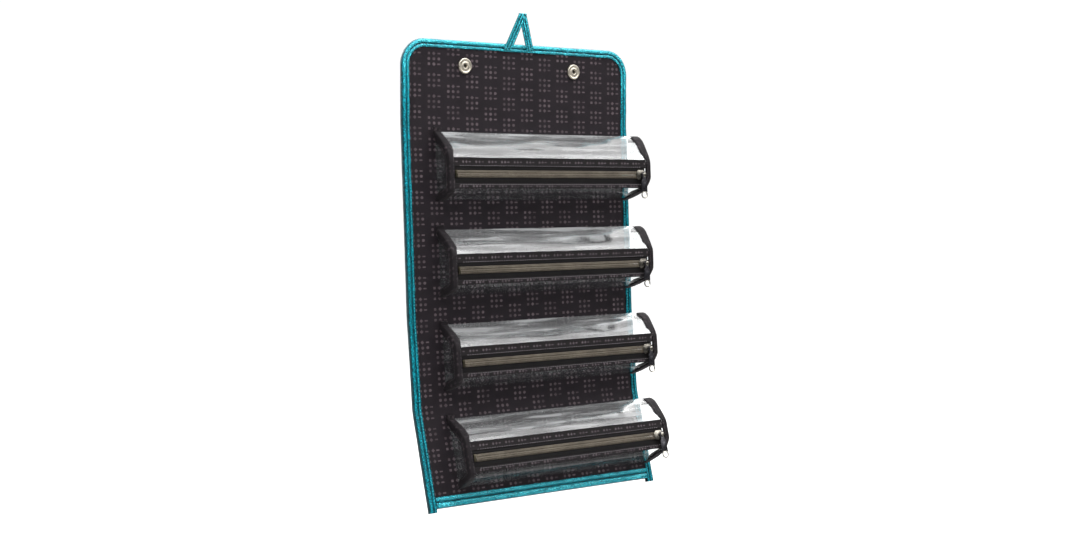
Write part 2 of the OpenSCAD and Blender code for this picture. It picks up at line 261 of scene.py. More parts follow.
def rounded(poly, r, seg=4):
    """A 2D polygon with its corners rounded."""
    poly = np.asarray(poly, float)
    out, n = [], len(poly)
    rr = r if hasattr(r, "__len__") else [r] * n
    for i in range(n):
        p, a, b = poly[i], poly[i - 1], poly[(i + 1) % n]
        ua, ub = (a - p), (b - p)
        la, lb = np.linalg.norm(ua), np.linalg.norm(ub)
        ua, ub = ua / la, ub / lb
        k = min(rr[i], la * 0.48, lb * 0.48)
        for t in np.linspace(0, 1, seg + 1):
            out.append((1 - t) ** 2 * (p + ua * k) + 2 * t * (1 - t) * p + t * t * (p + ub * k))
    return np.array(out)


def bevel_plate(outline, y0, y1, e=0.25, hole=None):
    """Plate from a 2D (x, z) outline between y0 and y1 with softened edges. hole is an outline with as many points."""
    def shrink(o, d):
        c = np.roll(o, -1, 0) - np.roll(o, 1, 0)
        nn = np.stack([c[:, 1], -c[:, 0]], 1); nn /= np.maximum(np.linalg.norm(nn, axis=1)[:, None], 1e-9)
        area = 0.5 * np.sum(o[:, 0] * np.roll(o[:, 1], -1) - np.roll(o[:, 0], -1) * o[:, 1])
        return o - nn * d * (1 if area > 0 else -1)
    def ring(o, y):
        return np.stack([o[:, 0], np.full(len(o), y), o[:, 1]], 1)
    outer = [ring(shrink(outline, e), y0), ring(shrink(outline, e * 0.3), y0 + e * 0.3 * np.sign(y1 - y0)), ring(outline, y0 + e * np.sign(y1 - y0)),
             ring(outline, y1 - e * np.sign(y1 - y0)), ring(shrink(outline, e * 0.3), y1 - e * 0.3 * np.sign(y1 - y0)), ring(shrink(outline, e), y1)]
    if hole is None:
        return rings(outer)
    inner = [ring(shrink(hole, -e), y1), ring(hole, y1 - e * np.sign(y1 - y0)), ring(hole, y0 + e * np.sign(y1 - y0)), ring(shrink(hole, -e), y0)]
    return rings(outer + inner, loop_rings=True)


def circle(x, z, r, n=48, ph=0.0):
    a = np.linspace(0, 2 * math.pi, n, endpoint=False) + ph
    return np.stack([x + r * np.cos(a), z + r * np.sin(a)], 1)


# ------------------------------------------------------------------ materials
class E:
    """Shader math written as expressions."""
    def __init__(s, nt, v):
        s.nt, s.v = nt, v

    def _op(s, op, *o):
        n = s.nt.nodes.new("ShaderNodeMath"); n.operation = op
        for i, x in enumerate((s,) + o):
            x = x.v if isinstance(x, E) else x
            if isinstance(x, (int, float)):
                n.inputs[i].default_value = x
            else:
                s.nt.links.new(x, n.inputs[i])
        return E(s.nt, n.outputs[0])

    def __add__(s, o): return s._op("ADD", o)
    def __sub__(s, o): return s._op("SUBTRACT", o)
    def __mul__(s, o): return s._op("MULTIPLY", o)
    def __truediv__(s, o): return s._op("DIVIDE", o)
    def floor(s): return s._op("FLOOR")
    def fract(s): return s._op("FRACT")
    def abs(s): return s._op("ABSOLUTE")
    def sqrt(s): return s._op("SQRT")
    def sin(s): return s._op("SINE")
    def mod(s, o): return s._op("FLOORED_MODULO", o)
    def max(s, o): return s._op("MAXIMUM", o)
    def min(s, o): return s._op("MINIMUM", o)
    def lt(s, o): return s._op("LESS_THAN", o)
    def gt(s, o): return s._op("GREATER_THAN", o)
    def near(s, o, e=0.5): return s._op("COMPARE", o, e)
    def pow(s, o): return s._op("POWER", o)
    def soft(s, a, b):
        n = s.nt.nodes.new("ShaderNodeMapRange"); n.interpolation_type = "SMOOTHSTEP"
        s.nt.links.new(s.v, n.inputs[0])
        n.inputs[1].default_value, n.inputs[2].default_value = a, b
        return E(s.nt, n.outputs[0])


class Mat:
    def __init__(s, name):
        s.m = bpy.data.materials.new(name); s.m.use_nodes = True
        s.nt = s.m.node_tree; s.N = s.nt.nodes; s.L = s.nt.links
        s.b = s.N["Principled BSDF"]
        a = s.N.new("ShaderNodeAttribute"); a.attribute_name = "flat"
        s.vec = a.outputs["Vector"]
        x = s.N.new("ShaderNodeSeparateXYZ"); s.L.new(s.vec, x.inputs[0])
        s.x, s.y, s.z = (E(s.nt, x.outputs[i]) for i in range(3))

    def scaled(s, k):
        """The flat coordinates times k (a number or three)."""
        n = s.N.new("ShaderNodeVectorMath"); n.operation = "MULTIPLY"
        s.L.new(s.vec, n.inputs[0]); n.inputs[1].default_value = k if hasattr(k, "__len__") else (k,) * 3
        return n.outputs[0]

    def noise(s, size, detail=2.0, rough=0.5, stretch=(1, 1, 1)):
        """Noise about size mm across."""
        n = s.N.new("ShaderNodeTexNoise"); n.inputs["Scale"].default_value = 1.0
        n.inputs["Detail"].default_value = detail; n.inputs["Roughness"].default_value = rough
        s.L.new(s.scaled([q / size for q in stretch]), n.inputs["Vector"])
        return E(s.nt, n.outputs[0])

    def voronoi(s, size, feature="F1", out=0, stretch=(1, 1, 1), rand=1.0):
        n = s.N.new("ShaderNodeTexVoronoi"); n.feature = feature; n.inputs["Scale"].default_value = 1.0
        n.inputs["Randomness"].default_value = rand
        s.L.new(s.scaled([q / size for q in stretch]), n.inputs["Vector"])
        return E(s.nt, n.outputs[out])

    def ramp(s, f, stops):
        n = s.N.new("ShaderNodeValToRGB"); s.L.new(f.v, n.inputs[0])
        e = n.color_ramp.elements
        while len(e) < len(stops):
            e.new(0.5)
        for el, (p, c) in zip(e, stops):
            el.position = p; el.color = tuple(c) + (1,)
        return n.outputs[0]

    def mix(s, f, a, b, mode="MIX"):
        n = s.N.new("ShaderNodeMix"); n.data_type = "RGBA"; n.blend_type = mode
        for sock, v in ((n.inputs[0], f), (n.inputs[6], a), (n.inputs[7], b)):
            v = v.v if isinstance(v, E) else v
            if isinstance(v, (int, float)):
                sock.default_value = v
            elif isinstance(v, (tuple, list)):
                sock.default_value = tuple(v) + (1,)
            else:
                s.L.new(v, sock)
        return n.outputs[2]

    def bump(s, h, dist, strength=1.0, prev=None):
        n = s.N.new("ShaderNodeBump"); n.inputs["Strength"].default_value = strength
        n.inputs["Distance"].default_value = dist * MM
        s.L.new(h.v, n.inputs["Height"])
        if prev is not None:
            s.L.new(prev, n.inputs["Normal"])
        s.L.new(n.outputs[0], s.b.inputs["Normal"])
        return n.outputs[0]

    def set(s, **k):
        for a, v in k.items():
            sock = s.b.inputs[a.replace("_", " ")]
            if isinstance(v, E):
                s.L.new(v.v, sock)
            elif hasattr(v, "is_linked"):
                s.L.new(v, sock)
            elif isinstance(v, (tuple, list)):
                sock.default_value = tuple(v) + (1,)
            else:
                sock.default_value = v
        return s


def lin(h):
    c = [int(h[i:i + 2], 16) / 255 for i in (1, 3, 5)]
    return tuple(x / 12.92 if x <= 0.04045 else ((x + 0.055) / 1.055) ** 2.4 for x in c)


def teal_leather(name, dark=1.0, strap=None, tape=True):
    """Metallic faux leather: pebbled cells with a painted highlight on their tops and painted shade in the gaps, which
    are also rougher.
    """
    m = Mat(name)
    cell = m.voronoi(1.05)
    gap = m.voronoi(1.05, "DISTANCE_TO_EDGE")
    big = m.noise(14.0, 3.0)
    mid = m.noise(3.2, 2.0)
    fine = m.noise(0.5, 2.0)
    # painted shade: the binding's edge wall and its creases (flat y near the middle of the profile) are darkened, while
    # the front and back faces keep their colour
    clear_of_crease_shade = (m.y - 1.75).abs().soft(2.0, 3.15)
    f = (gap.soft(0.0, 0.22) * 0.46 + big * 0.25 + mid * 0.25 + fine * 0.2)
    if strap:
        # painted shade along a strap's legs: darker in its pleats and towards its edges
        foot, top = strap
        t = (m.z - foot) / (top - foot)
        dl = (m.x - (t * 20.0 - 18.0)).abs() / 5.35
        dr = (m.x - (t * -9.8 + 11.8)).abs() / 5.1
        q = dl.min(dr)
        f = f * ((q - 0.34).abs().soft(0.03, 0.22) * 0.78 + 0.22) * (q.soft(1.0, 0.72) * 0.75 + 0.25) + 0.02
    elif tape:
        # painted shade on the upright runs below the top corners, and a little painted light on the level runs, as the
        # light from above falls on them
        upright_painted_shade = m.x.abs().soft(134.0, 143.0) * (m.z.soft(395.0, 468.0) * -1.0 + 1.0)
        f = f * (clear_of_crease_shade * 0.62 + 0.38) * (upright_painted_shade * -0.30 + 1.06)
    # painted light: the palest stop paints highlights on the cell tops and the darkest stop paints shade in the gaps;
    # the noises add random tone
    col = m.ramp(f, [(0.14, tuple(c * dark for c in lin("#01252c"))), (0.40, tuple(c * dark for c in lin("#026c7a"))),
                     (0.66, tuple(c * dark for c in lin("#12a9ba"))), (0.92, tuple(c * dark for c in lin("#6be8f2")))])
    m.set(Base_Color=col, Metallic=0.88, Specular_IOR_Level=0.6, Coat_Weight=0.3, Coat_Roughness=0.22)
    r = m.noise(2.4, 2.0) * 0.18 + (gap.soft(0.0, 0.15) * -0.14) + 0.22
    m.set(Roughness=r)
    n = m.bump(big * 1.0 + mid * 0.9, 0.5, 0.7)
    m.bump(gap.soft(0.0, 0.35) + cell * -0.5 + fine * 0.15, 0.22, 1.0, n)
    return m.m


def print_mask(m, u, v):
    """Blocks of three by three small plain shapes in half-drop columns. Discs, squares, diamonds and bars only."""
    col = (u / 24.0).floor()
    cv = (v + (col.mod(2.0) * 11.0)) / 22.0
    bu, bv = (u / 24.0).fract() * 3.9, cv.fract() * 4.0
    gi, gj = bu.floor(), bv.floor()
    a, b = bu.fract() - 0.5, bv.fract() - 0.5
    rad = (a * a + b * b).sqrt()
    disc = rad.lt(0.285)
    sq = a.abs().max(b.abs()).lt(0.235)
    dia = (a.abs() + b.abs()).lt(0.37)
    bar = a.abs().lt(0.31) * b.abs().lt(0.14)
    k = gi + gj * 3.0
    shapes = {8: bar, 7: dia, 6: sq, 5: disc, 4: disc, 3: disc, 2: bar, 1: dia, 0: sq}
    tot = None
    for i, s in shapes.items():
        t = s * k.near(float(i), 0.1)
        tot = t if tot is None else tot + t
    return tot * gi.lt(2.5) * gj.lt(2.5)


def lining_cloth(name, u=None, v=None, base="#262024", ink="#6a5d62", weave=0.42):
    m = Mat(name)
    u = u(m) if u else m.x
    v = v(m) if v else m.z
    jit = m.noise(3.0, 1.0)
    mask = print_mask(m, u + (jit - 0.5) * 0.25, v + (m.noise(4.2, 1.0) - 0.5) * 0.25)
    worn = m.noise(9.0, 1.0).soft(0.25, 0.7) * 0.4 + m.noise(22.0, 2.0).soft(0.25, 0.75) * 0.4 + m.noise(0.4, 1.0) * 0.2
    base_c = m.ramp(m.noise(30.0, 3.0) * 0.6 + m.noise(0.7, 2.0) * 0.4, [(0.25, tuple(c * 0.72 for c in lin(base))), (0.75, tuple(c * 1.25 for c in lin(base)))])
    col = m.mix((mask * worn).min(1.0), base_c, lin(ink))
    m.set(Base_Color=col, Roughness=m.noise(6.0) * 0.15 + 0.62, Specular_IOR_Level=0.2, Sheen_Weight=0.02, Sheen_Roughness=0.5)
    w = ((u * (2 * math.pi / weave)).sin() * (v * (2 * math.pi / weave)).sin())
    n = m.bump(m.noise(18.0, 3.0), 0.9, 0.35)
    m.bump(w * 0.5 + m.noise(0.6, 1.0) * 0.5 + mask * 0.25, 0.05, 0.6, n)
    return m.m


def facing_cloth(name, rows, base="#161214", ink="#6a6065"):
    """The lining's cloth cut into strips: threes of small plain shapes in a row along each strip."""
    m = Mat(name)
    u = m.x + (m.noise(3.0, 1.0) - 0.5) * 0.5
    cell = u / 4.1
    gi = cell.floor().mod(4.0)
    a = cell.fract() - 0.5
    tot = None
    for z0, ph in rows:
        b = (m.z - z0 + (m.noise(4.2, 1.0) - 0.5) * 0.4) / 4.1
        rad = (a * a + b * b).sqrt()
        k = (gi + ph).mod(4.0)
        t = rad.lt(0.29) * k.near(0.0, 0.1) + (a.abs() + b.abs()).lt(0.36) * k.near(1.0, 0.1) \
            + a.abs().lt(0.31) * b.abs().lt(0.14) * k.near(2.0, 0.1)
        tot = t if tot is None else tot + t
    worn = m.noise(9.0, 1.0).soft(0.2, 0.7) * 0.4 + m.noise(26.0, 2.0).soft(0.2, 0.7) * 0.35 + m.noise(0.4, 1.0) * 0.2
    base_c = m.ramp(m.noise(30.0, 3.0) * 0.6 + m.noise(0.7, 2.0) * 0.4, [(0.25, tuple(c * 0.72 for c in lin(base))), (0.75, tuple(c * 1.25 for c in lin(base)))])
    col = m.mix((tot * worn).min(1.0), base_c, lin(ink))
    m.set(Base_Color=col, Roughness=m.noise(6.0) * 0.15 + 0.62, Specular_IOR_Level=0.2, Sheen_Weight=0.02, Sheen_Roughness=0.5)
    w = ((m.x * (2 * math.pi / 0.42)).sin() * (m.z * (2 * math.pi / 0.42)).sin())
    m.bump(w * 0.5 + m.noise(0.6, 1.0) * 0.5 + tot * 0.25, 0.06, 0.6)
    return m.m


def black_tape(name, base="#1c181b", rib=0.8, axis="x", twill=True, ink=None):
    m = Mat(name)
    t = {"x": m.x, "z": m.z}[axis]
    o = {"x": m.z, "z": m.x}[axis]
    w = ((t * (2 * math.pi / rib)) + (o * (2 * math.pi / rib) if twill else 0.0)).sin()
    v = m.noise(9.0, 3.0) * 0.6 + m.noise(0.8, 2.0) * 0.4
    col = m.ramp(v, [(0.2, tuple(c * 0.65 for c in lin(base))), (0.8, tuple(c * 1.5 for c in lin(base)))])
    if ink:
        mask = print_mask(m, m.x + m.y * 0.9, m.z + m.y * 0.4 + 3.0)
        col = m.mix(mask * (m.noise(9.0).soft(0.3, 0.7) * 0.6), col, lin(ink))
    m.set(Base_Color=col, Roughness=m.noise(4.0) * 0.2 + 0.6, Specular_IOR_Level=0.16, Sheen_Weight=0.02)
    m.bump(w * 0.5 + m.noise(1.0, 2.0) * 0.5, 0.09, 0.7)
    return m.m


def thread(name, c):
    m = Mat(name)
    v = m.noise(2.0, 2.0)
    m.set(Base_Color=m.ramp(v, [(0.2, tuple(x * 0.6 for x in lin(c))), (0.8, tuple(min(1, x * 1.3) for x in lin(c)))]), Roughness=0.55, Sheen_Weight=0.1)
    m.bump(((m.x + m.z + m.y) * (2 * math.pi / 0.35)).sin(), 0.04, 0.6)
    return m.m


def metal(name, c0, c1, rough=0.2, scratch=0.5):
    m = Mat(name)
    s = m.noise(0.35, 3.0, stretch=(1.0, 1.0, 0.08))
    v = m.noise(2.5, 3.0)
    m.set(Base_Color=m.ramp(v * 0.7 + s * 0.3, [(0.25, lin(c0)), (0.75, lin(c1))]), Metallic=1.0, Roughness=v * 0.16 + s * 0.1 + (rough - 0.1))
    m.bump(s * scratch + m.noise(1.2, 2.0) * 0.6, 0.02, 0.5)
    return m.m


def gloss_black(name):
    m = Mat(name)
    v = m.noise(1.6, 3.0)
    m.set(Base_Color=m.ramp(v, [(0.2, lin("#26252a")), (0.8, lin("#4a494f"))]), Metallic=0.75, Roughness=v * 0.14 + 0.22, Coat_Weight=0.35, Coat_Roughness=0.12)
    m.bump(m.noise(0.5, 2.0), 0.02, 0.5)
    return m.m


def coil_mat(name):
    m = Mat(name)
    v = m.noise(1.3, 2.0) * 0.5 + m.noise(24.0, 2.0) * 0.5
    m.set(Base_Color=m.ramp(v, [(0.2, lin("#554e44")), (0.5, lin("#7a7163")), (0.8, lin("#9c9282"))]), Metallic=0.35, Roughness=m.noise(2.0) * 0.2 + 0.3, Specular_IOR_Level=0.6)
    m.bump(m.noise(0.4, 2.0), 0.03, 0.5)
    return m.m


def vinyl_mat(name, haze=0.012, ripple=0.45, gain=1.6, rough=0.035):
    """Clear soft vinyl: see-through, with a faint streaky haze, a mirror sheen that grows at low angles and long soft ripples."""
    m = bpy.data.materials.new(name); m.use_nodes = True
    nt = m.node_tree; N, L = nt.nodes, nt.links
    N.clear()
    out = N.new("ShaderNodeOutputMaterial")
    at = N.new("ShaderNodeAttribute"); at.attribute_name = "flat"

    def noise(k, detail=2.0):
        sc = N.new("ShaderNodeVectorMath"); sc.operation = "MULTIPLY"; sc.inputs[1].default_value = k
        L.new(at.outputs["Vector"], sc.inputs[0])
        no = N.new("ShaderNodeTexNoise"); no.inputs["Scale"].default_value = 1.0; no.inputs["Detail"].default_value = detail
        L.new(sc.outputs[0], no.inputs["Vector"])
        return E(nt, no.outputs[0])

    long_, short = noise((0.010, 0.055, 0.065), 1.0), noise((0.03, 0.12, 0.12), 1.0)
    h = long_ * 1.0 + short * 0.07
    bp = N.new("ShaderNodeBump"); bp.inputs["Strength"].default_value = ripple; bp.inputs["Distance"].default_value = 1.2 * MM
    L.new(h.v, bp.inputs["Height"])
    clear = N.new("ShaderNodeBsdfTransparent"); clear.inputs[0].default_value = (0.975, 0.982, 0.982, 1)
    sheen = N.new("ShaderNodeBsdfPrincipled")
    sheen.inputs["Base Color"].default_value = (0.88, 0.89, 0.90, 1)
    sheen.inputs["Specular IOR Level"].default_value = 0.6
    rr = short * 0.10 + rough
    gl = N.new("ShaderNodeBsdfGlossy"); gl.inputs[0].default_value = (1, 1, 1, 1)
    L.new(rr.v, gl.inputs["Roughness"]); L.new(rr.v, sheen.inputs["Roughness"])
    fr = N.new("ShaderNodeFresnel"); fr.inputs[0].default_value = 1.45
    if ripple > 0.05:
        for s_ in (gl, sheen, fr):
            L.new(bp.outputs[0], s_.inputs["Normal"])
    geo = N.new("ShaderNodeNewGeometry")
    facing = E(nt, geo.outputs["Backfacing"]) * -1.0 + 1.0
    f2 = (E(nt, fr.outputs[0]) * gain).min(1.0) * facing
    a = N.new("ShaderNodeMixShader"); L.new(f2.v, a.inputs[0]); L.new(clear.outputs[0], a.inputs[1]); L.new(gl.outputs[0], a.inputs[2])
    hz = noise((0.014, 0.12, 0.16), 2.0).soft(0.42, 0.72) * (haze * 2.0) + haze * 0.6
    hz = hz * facing
    b = N.new("ShaderNodeMixShader"); L.new(hz.v, b.inputs[0]); L.new(a.outputs[0], b.inputs[1]); L.new(sheen.outputs[0], b.inputs[2])
    L.new(b.outputs[0], out.inputs[0])
    return m


TEAL = teal_leather("teal_leather")
TEAL_BACK = teal_leather("teal_leather_back", 0.78, None, False)
TEAL_LOOP = teal_leather("teal_leather_loop", 1.0, ((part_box("hanging_loop")[0].z - ZS) / MM, (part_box("hanging_loop")[1].z - ZS) / MM - 0.4))
LINING = lining_cloth("printed_lining", base="#1b151a", ink="#63575c")
BINDTAPE = black_tape("pouch_binding_tape", "#1a1619", rib=0.7, ink="#4c4347")
TAPE = black_tape("zip_tape", "#0e0c0d", rib=0.9, twill=False)
THREAD_TEAL = thread("thread_teal", "#2aa0ae")
THREAD_GREY = thread("thread_grey", "#8d868c")
THREAD_DARK = thread("thread_dark", "#2a2529")
COIL = coil_mat("zip_coil_olive")
SLIDER = metal("slider_nickel", "#5f5c56", "#b4afa5", 0.2, 0.8)
STOP = metal("stop_dark", "#35322b", "#5b5648", 0.42)
NICKEL = metal("nickel", "#8f8a80", "#cfcabf", 0.24)
SNAP = metal("snap_nickel", "#b9b1a1", "#ddd6c8", 0.4)
# painted shade: a dark metal that stands in for the shade inside the snap sockets' holes
SNAP_HOLE_SHADE = metal("snap_hole_painted_shade", "#3b3834", "#57524b", 0.5)
GUN = gloss_black("pull_black")
VINYL = vinyl_mat("clear_vinyl", 0.15, 0.26, 2.2, 0.08)
VINYL_LOW = vinyl_mat("clear_vinyl_low", 0.01, 0.0, 0.4, 0.08)
VINYL_HEM = vinyl_mat("clear_vinyl_hem", 0.16, 0.2, 2.0, 0.15)
FOAMCORE = Mat("foam_core").set(Base_Color=(0.4, 0.4, 0.38), Roughness=0.9).m


# ------------------------------------------------------------------ soft simulation
def simulate(V, F, pins, pressure, frames=16, grow=0.0):
    """Cloth on a flat sheet (mm), pinned by weight; returns the moved points."""
    me = bpy.data.meshes.new("sim"); me.from_pydata([tuple(p) for p in V * MM], [], F)
    ob = bpy.data.objects.new("sim", me); SCENE.collection.objects.link(ob)
    g = ob.vertex_groups.new(name="pin")
    for i in np.nonzero(pins > 0)[0]:
        g.add([int(i)], float(pins[i]), "REPLACE")
    md = ob.modifiers.new("cloth", "CLOTH"); s = md.settings
    s.quality = 4; s.mass = 0.15
    s.tension_stiffness = s.compression_stiffness = s.shear_stiffness = 12.0
    s.bending_stiffness = 0.08
    s.vertex_group_mass = "pin"; s.pin_stiffness = 1.0
    s.shrink_min = -grow
    s.use_pressure = True; s.uniform_pressure_force = pressure
    s.effector_weights.gravity = 0.0
    md.collision_settings.use_collision = False; md.collision_settings.use_self_collision = False
    md.point_cache.frame_start, md.point_cache.frame_end = 1, frames
    for f in range(1, frames + 1):
        SCENE.frame_set(f)
    ev = ob.evaluated_get(bpy.context.evaluated_depsgraph_get())
    co = np.zeros(len(V) * 3); ev.data.vertices.foreach_get("co", co)
    bpy.data.objects.remove(ob)
    SCENE.frame_set(1)
    return co.reshape(-1, 3) / MM


# ------------------------------------------------------------------ the panel's cloth
R_CORNER = 28.0
BIND_W = 9.0                                            # the side and top binding; the bottom one is 12
POUCH_H = {1: 71.0, 2: 68.5, 3: 67.0, 4: 71.0}
POUCH_Z = {1: ZF[1] - 11, 2: ZF[2] - 9.5, 3: ZF[3] - 7.5, 4: ZF[4] - 11}
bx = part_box("pouch_1_end_bindings")
X_L, X_R = bx[0].x / MM, bx[1].x / MM
SNAP_X = 72.5
SNAP_Z = (sum(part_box("snap_sockets")[i].z for i in (0, 1)) / 2 - ZS) / MM
STUD_Z = 57.0
_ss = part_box("snap_sockets"); SNAP_X = _ss[1].x / MM - 8.2


def half_width(z, inset):
    r = R_CORNER - inset
    z = np.asarray(z, float)
    zc = CASE_H - R_CORNER
    return np.where(z <= zc, HALF_W - inset, HALF_W - R_CORNER + np.sqrt(np.maximum(r * r - np.maximum(z - zc, 0) ** 2, 0)))


def levels(z0, z1):
    zs = [z0]
    while zs[-1] < z1 - 1e-6:
        z = zs[-1]
        d = min(abs(z - ZF[k]) for k in ZF)
        step = 2.0 if d < SOFT + 3 else 4.4
        if z > CASE_H - R_CORNER:
            step = 2.4
        nz = z + step
        for c in CUTS[1:4] + [z1]:
            if z < c - 1e-6 and nz > c - 0.6:
                nz = c
        zs.append(nz)
    return np.array(zs)


def panel_sheet(side, seed, puff, cap):
    """The lining (side -1) or the outer shell (side +1) as one softly puffed sheet, in flat mm: (rows, cols, 3)."""
    zs = levels(4.0, CASE_H - 6.0)
    cols = 67
    u = np.linspace(-1, 1, cols)
    hw = half_width(zs, 6.0)
    X = hw[:, None] * u[None, :]
    Z = np.repeat(zs[:, None], cols, 1)
    y0 = 0.0 if side < 0 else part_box("flap_outer_shell")[1].y / MM
    Y = np.full_like(X, y0)
    P = np.stack([X, Y, Z], -1)
    # how far each point is from what holds it: the edge, the pouches' seams, the snaps
    edge = np.minimum(hw[:, None] - np.abs(X), np.minimum(Z - 4.0, CASE_H - 6.0 - Z))
    hold = np.clip(edge / 4.6, 0, 1)
    seam = np.ones_like(X)
    for n, zp in POUCH_Z.items():
        for zz in (zp - 3.0, zp - POUCH_H[n] + 3.5):
            on = (X > X_L) & (X < X_R)
            seam = np.where(on, np.minimum(seam, np.clip(np.abs(Z - zz) / 5.0, 0.0, 1)), seam)
    for sx in (-SNAP_X, SNAP_X):
        seam = np.minimum(seam, np.clip((np.hypot(X - sx, Z - SNAP_Z) - 7.0) / 6.0, 0, 1))
        if side > 0:
            seam = np.minimum(seam, np.clip((np.hypot(X - sx, Z - STUD_Z) - 5.0) / 6.0, 0, 1))
    pins = np.where((hold < 0.9) | (seam < 0.35), 1.0, 0.0).ravel()
    F = grid_faces(len(zs), cols)
    if side > 0:
        F = F
    else:
        F = [f[::-1] for f in F]
    Q = simulate(P.reshape(-1, 3), F, pins, puff, 16, 0.006)
    D = (Q.reshape(P.shape) - P)
    D[..., 1] = np.clip(D[..., 1] * side, -0.25, cap) * side
    D[..., 0] = np.clip(D[..., 0], -0.5, 0.5); D[..., 2] = np.clip(D[..., 2], -0.5, 0.5)
    D *= np.minimum(hold, 1)[..., None]
    P = P + D
    w = Wob(seed)
    soft = np.minimum(hold, seam) ** 0.7
    rip = 0.22 * w(X / 26.0, Z / 17.0) + 0.12 * w(X / 9.0 + 40, Z / 13.0 + 9) + 0.30
    P[..., 1] += side * np.clip(rip, 0, 1) * soft
    return zs, P


def bend_strip(ob, k):
    """Bakes strip k's transform into its mesh; its turn at fold k is drawn by cloth_map, and it is not tied to the
    sections above and below.
    """
    a = cloth_map(np.array([[0, 1.0, ZF[k] + SOFT]]))[0]
    b = cloth_map(np.array([[0, 1.0, ZF[k] - SOFT]]))[0]
    BODY[k - 1]
    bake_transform(ob)


zs_l, LIN = panel_sheet(-1, 11, 0.9, 0.9)
zs_s, SHELL = panel_sheet(+1, 12, 1.1, 1.2)


def rows_between(zs, lo, hi):
    return np.nonzero((zs >= lo - 1e-6) & (zs <= hi + 1e-6))[0]


for k in (1, 2, 3, 4):
    lo, hi = STRIP[k]
    r = rows_between(zs_l, lo, hi)
    A = LIN[r]; B = A.copy(); B[..., 1] = 0.75
    V, F = slab(A, B)
    ob = make("vis_lining_%d" % k, V, F, LINING, cloth_map)
    bend_strip(ob, k)
    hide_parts(*(["flap_lining"] if k == 1 else []), "section_%d_lining" % k)
    r = rows_between(zs_s, lo, hi)
    A = SHELL[r]; B = A.copy(); B[..., 1] = 0.85
    V, F = slab(A, B)
    ob = make("vis_outer_shell_%d" % k, V, F, TEAL_BACK, cloth_map)
    bend_strip(ob, k)
    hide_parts(*(["flap_outer_shell", "flap_padding"] if k == 1 else []), "section_%d_outer_shell" % k, "section_%d_padding" % k)


# ------------------------------------------------------------------ the bindings
# cross-section from the back's inner edge round the panel's edge to the front's: (distance in from the edge, y)
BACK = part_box("flap_binding")[1].y / MM          # 5.1
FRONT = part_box("flap_binding")[0].y / MM         # -1.6
PROFILE = np.array([
    (11.9, 3.75), (11.8, 4.25), (10.6, 4.62), (8.8, 4.72), (7.4, 4.45), (6.7, 4.2), (6.0, 4.42), (4.8, BACK - 0.1), (3.0, BACK), (1.5, BACK - 0.35),
    (0.5, 4.0), (0.05, 2.9), (0.0, 1.75), (0.05, 0.6), (0.5, -0.5), (1.5, -1.3), (3.0, FRONT), (4.6, -1.5), (5.8, -1.05), (6.6, -0.3),
    (7.3, -0.75), (8.4, -1.3), (9.8, -1.42), (11.4, -1.15), (12.0, -0.6), (12.0, -0.1),
    (11.0, 0.02), (5.0, 0.05), (1.6, 0.2), (1.6, 3.3), (5.0, 3.5), (11.0, 3.5)])
N_SHOWN = 26
NARROW = PROFILE.copy()
NARROW[:, 0] = np.where(NARROW[:, 0] > 1.6, 1.6 + (NARROW[:, 0] - 1.6) * (BIND_W - 1.6) / (12.0 - 1.6), NARROW[:, 0])


def corner_path(z_low, step=2.2):
    """The panel's edge from the left at z_low, over the top, to the right: points, inward normals and run length."""
    pts, nrm = [], []
    def line(a, b, n):
        L = math.dist(a, b); m = max(1, int(L / step))
        for i in range(m):
            t = i / m
            pts.append((a[0] + (b[0] - a[0]) * t, a[1] + (b[1] - a[1]) * t)); nrm.append(n)
    def arc(cx, cz, a0, a1):
        m = 20
        for i in range(m):
            a = a0 + (a1 - a0) * i / m
            pts.append((cx + R_CORNER * math.cos(a), cz + R_CORNER * math.sin(a))); nrm.append((-math.cos(a), -math.sin(a)))
    zc, xc = CASE_H - R_CORNER, HALF_W - R_CORNER
    line((-HALF_W, z_low), (-HALF_W, zc), (1, 0)); arc(-xc, zc, math.pi, math.pi / 2)
    line((-xc, CASE_H), (xc, CASE_H), (0, -1)); arc(xc, zc, math.pi / 2, 0)
    line((HALF_W, zc), (HALF_W, z_low), (-1, 0)); pts.append((HALF_W, z_low)); nrm.append((-1, 0))
    return np.array(pts), np.array(nrm)


def side_path(side, z0, z1, step=2.2):
    m = max(2, int((z1 - z0) / step))
    z = np.linspace(z0, z1, m + 1)
    return np.stack([np.full(m + 1, side * HALF_W), z], 1), np.repeat([[-side, 0.0]], m + 1, 0)


WB = Wob(5); WB2 = Wob(6)


def sweep_binding(bag, pts, nrm, tail=False):
    R = []
    for i, (p, q) in enumerate(zip(pts, nrm)):
        s = p[1] if abs(q[0]) > 0.99 else p[0] + 1000
        side = 0 if p[0] < 0 else 17
        ring = []
        for j, (d, y) in enumerate(NARROW):
            if j < N_SHOWN:
                wob = 0.16 * WB(s / 3.3 + side, j * 0.55) + 0.12 * WB2(s / 9.0 + side, j * 0.3)
                if 0.3 < d < BIND_W - 0.2:
                    y = y + wob * (1.0 if d > 4.8 else 0.6)
                d = d + (0.10 * WB(s / 6.0 + side, 30 + j * 0.2) if d > 0.4 else abs(0.1 * WB(s / 8.0 + side, 9)))
            ring.append((p[0] + q[0] * d, y, p[1] + q[1] * d))
        R.append(ring)
    bag.add(*rings(R))


def binding_line(pts, nrm, d, y, ny):
    P = np.stack([pts[:, 0] + nrm[:, 0] * d, np.full(len(pts), y), pts[:, 1] + nrm[:, 1] * d], 1)
    return P, np.repeat([[0, ny, 0]], len(P), 0)


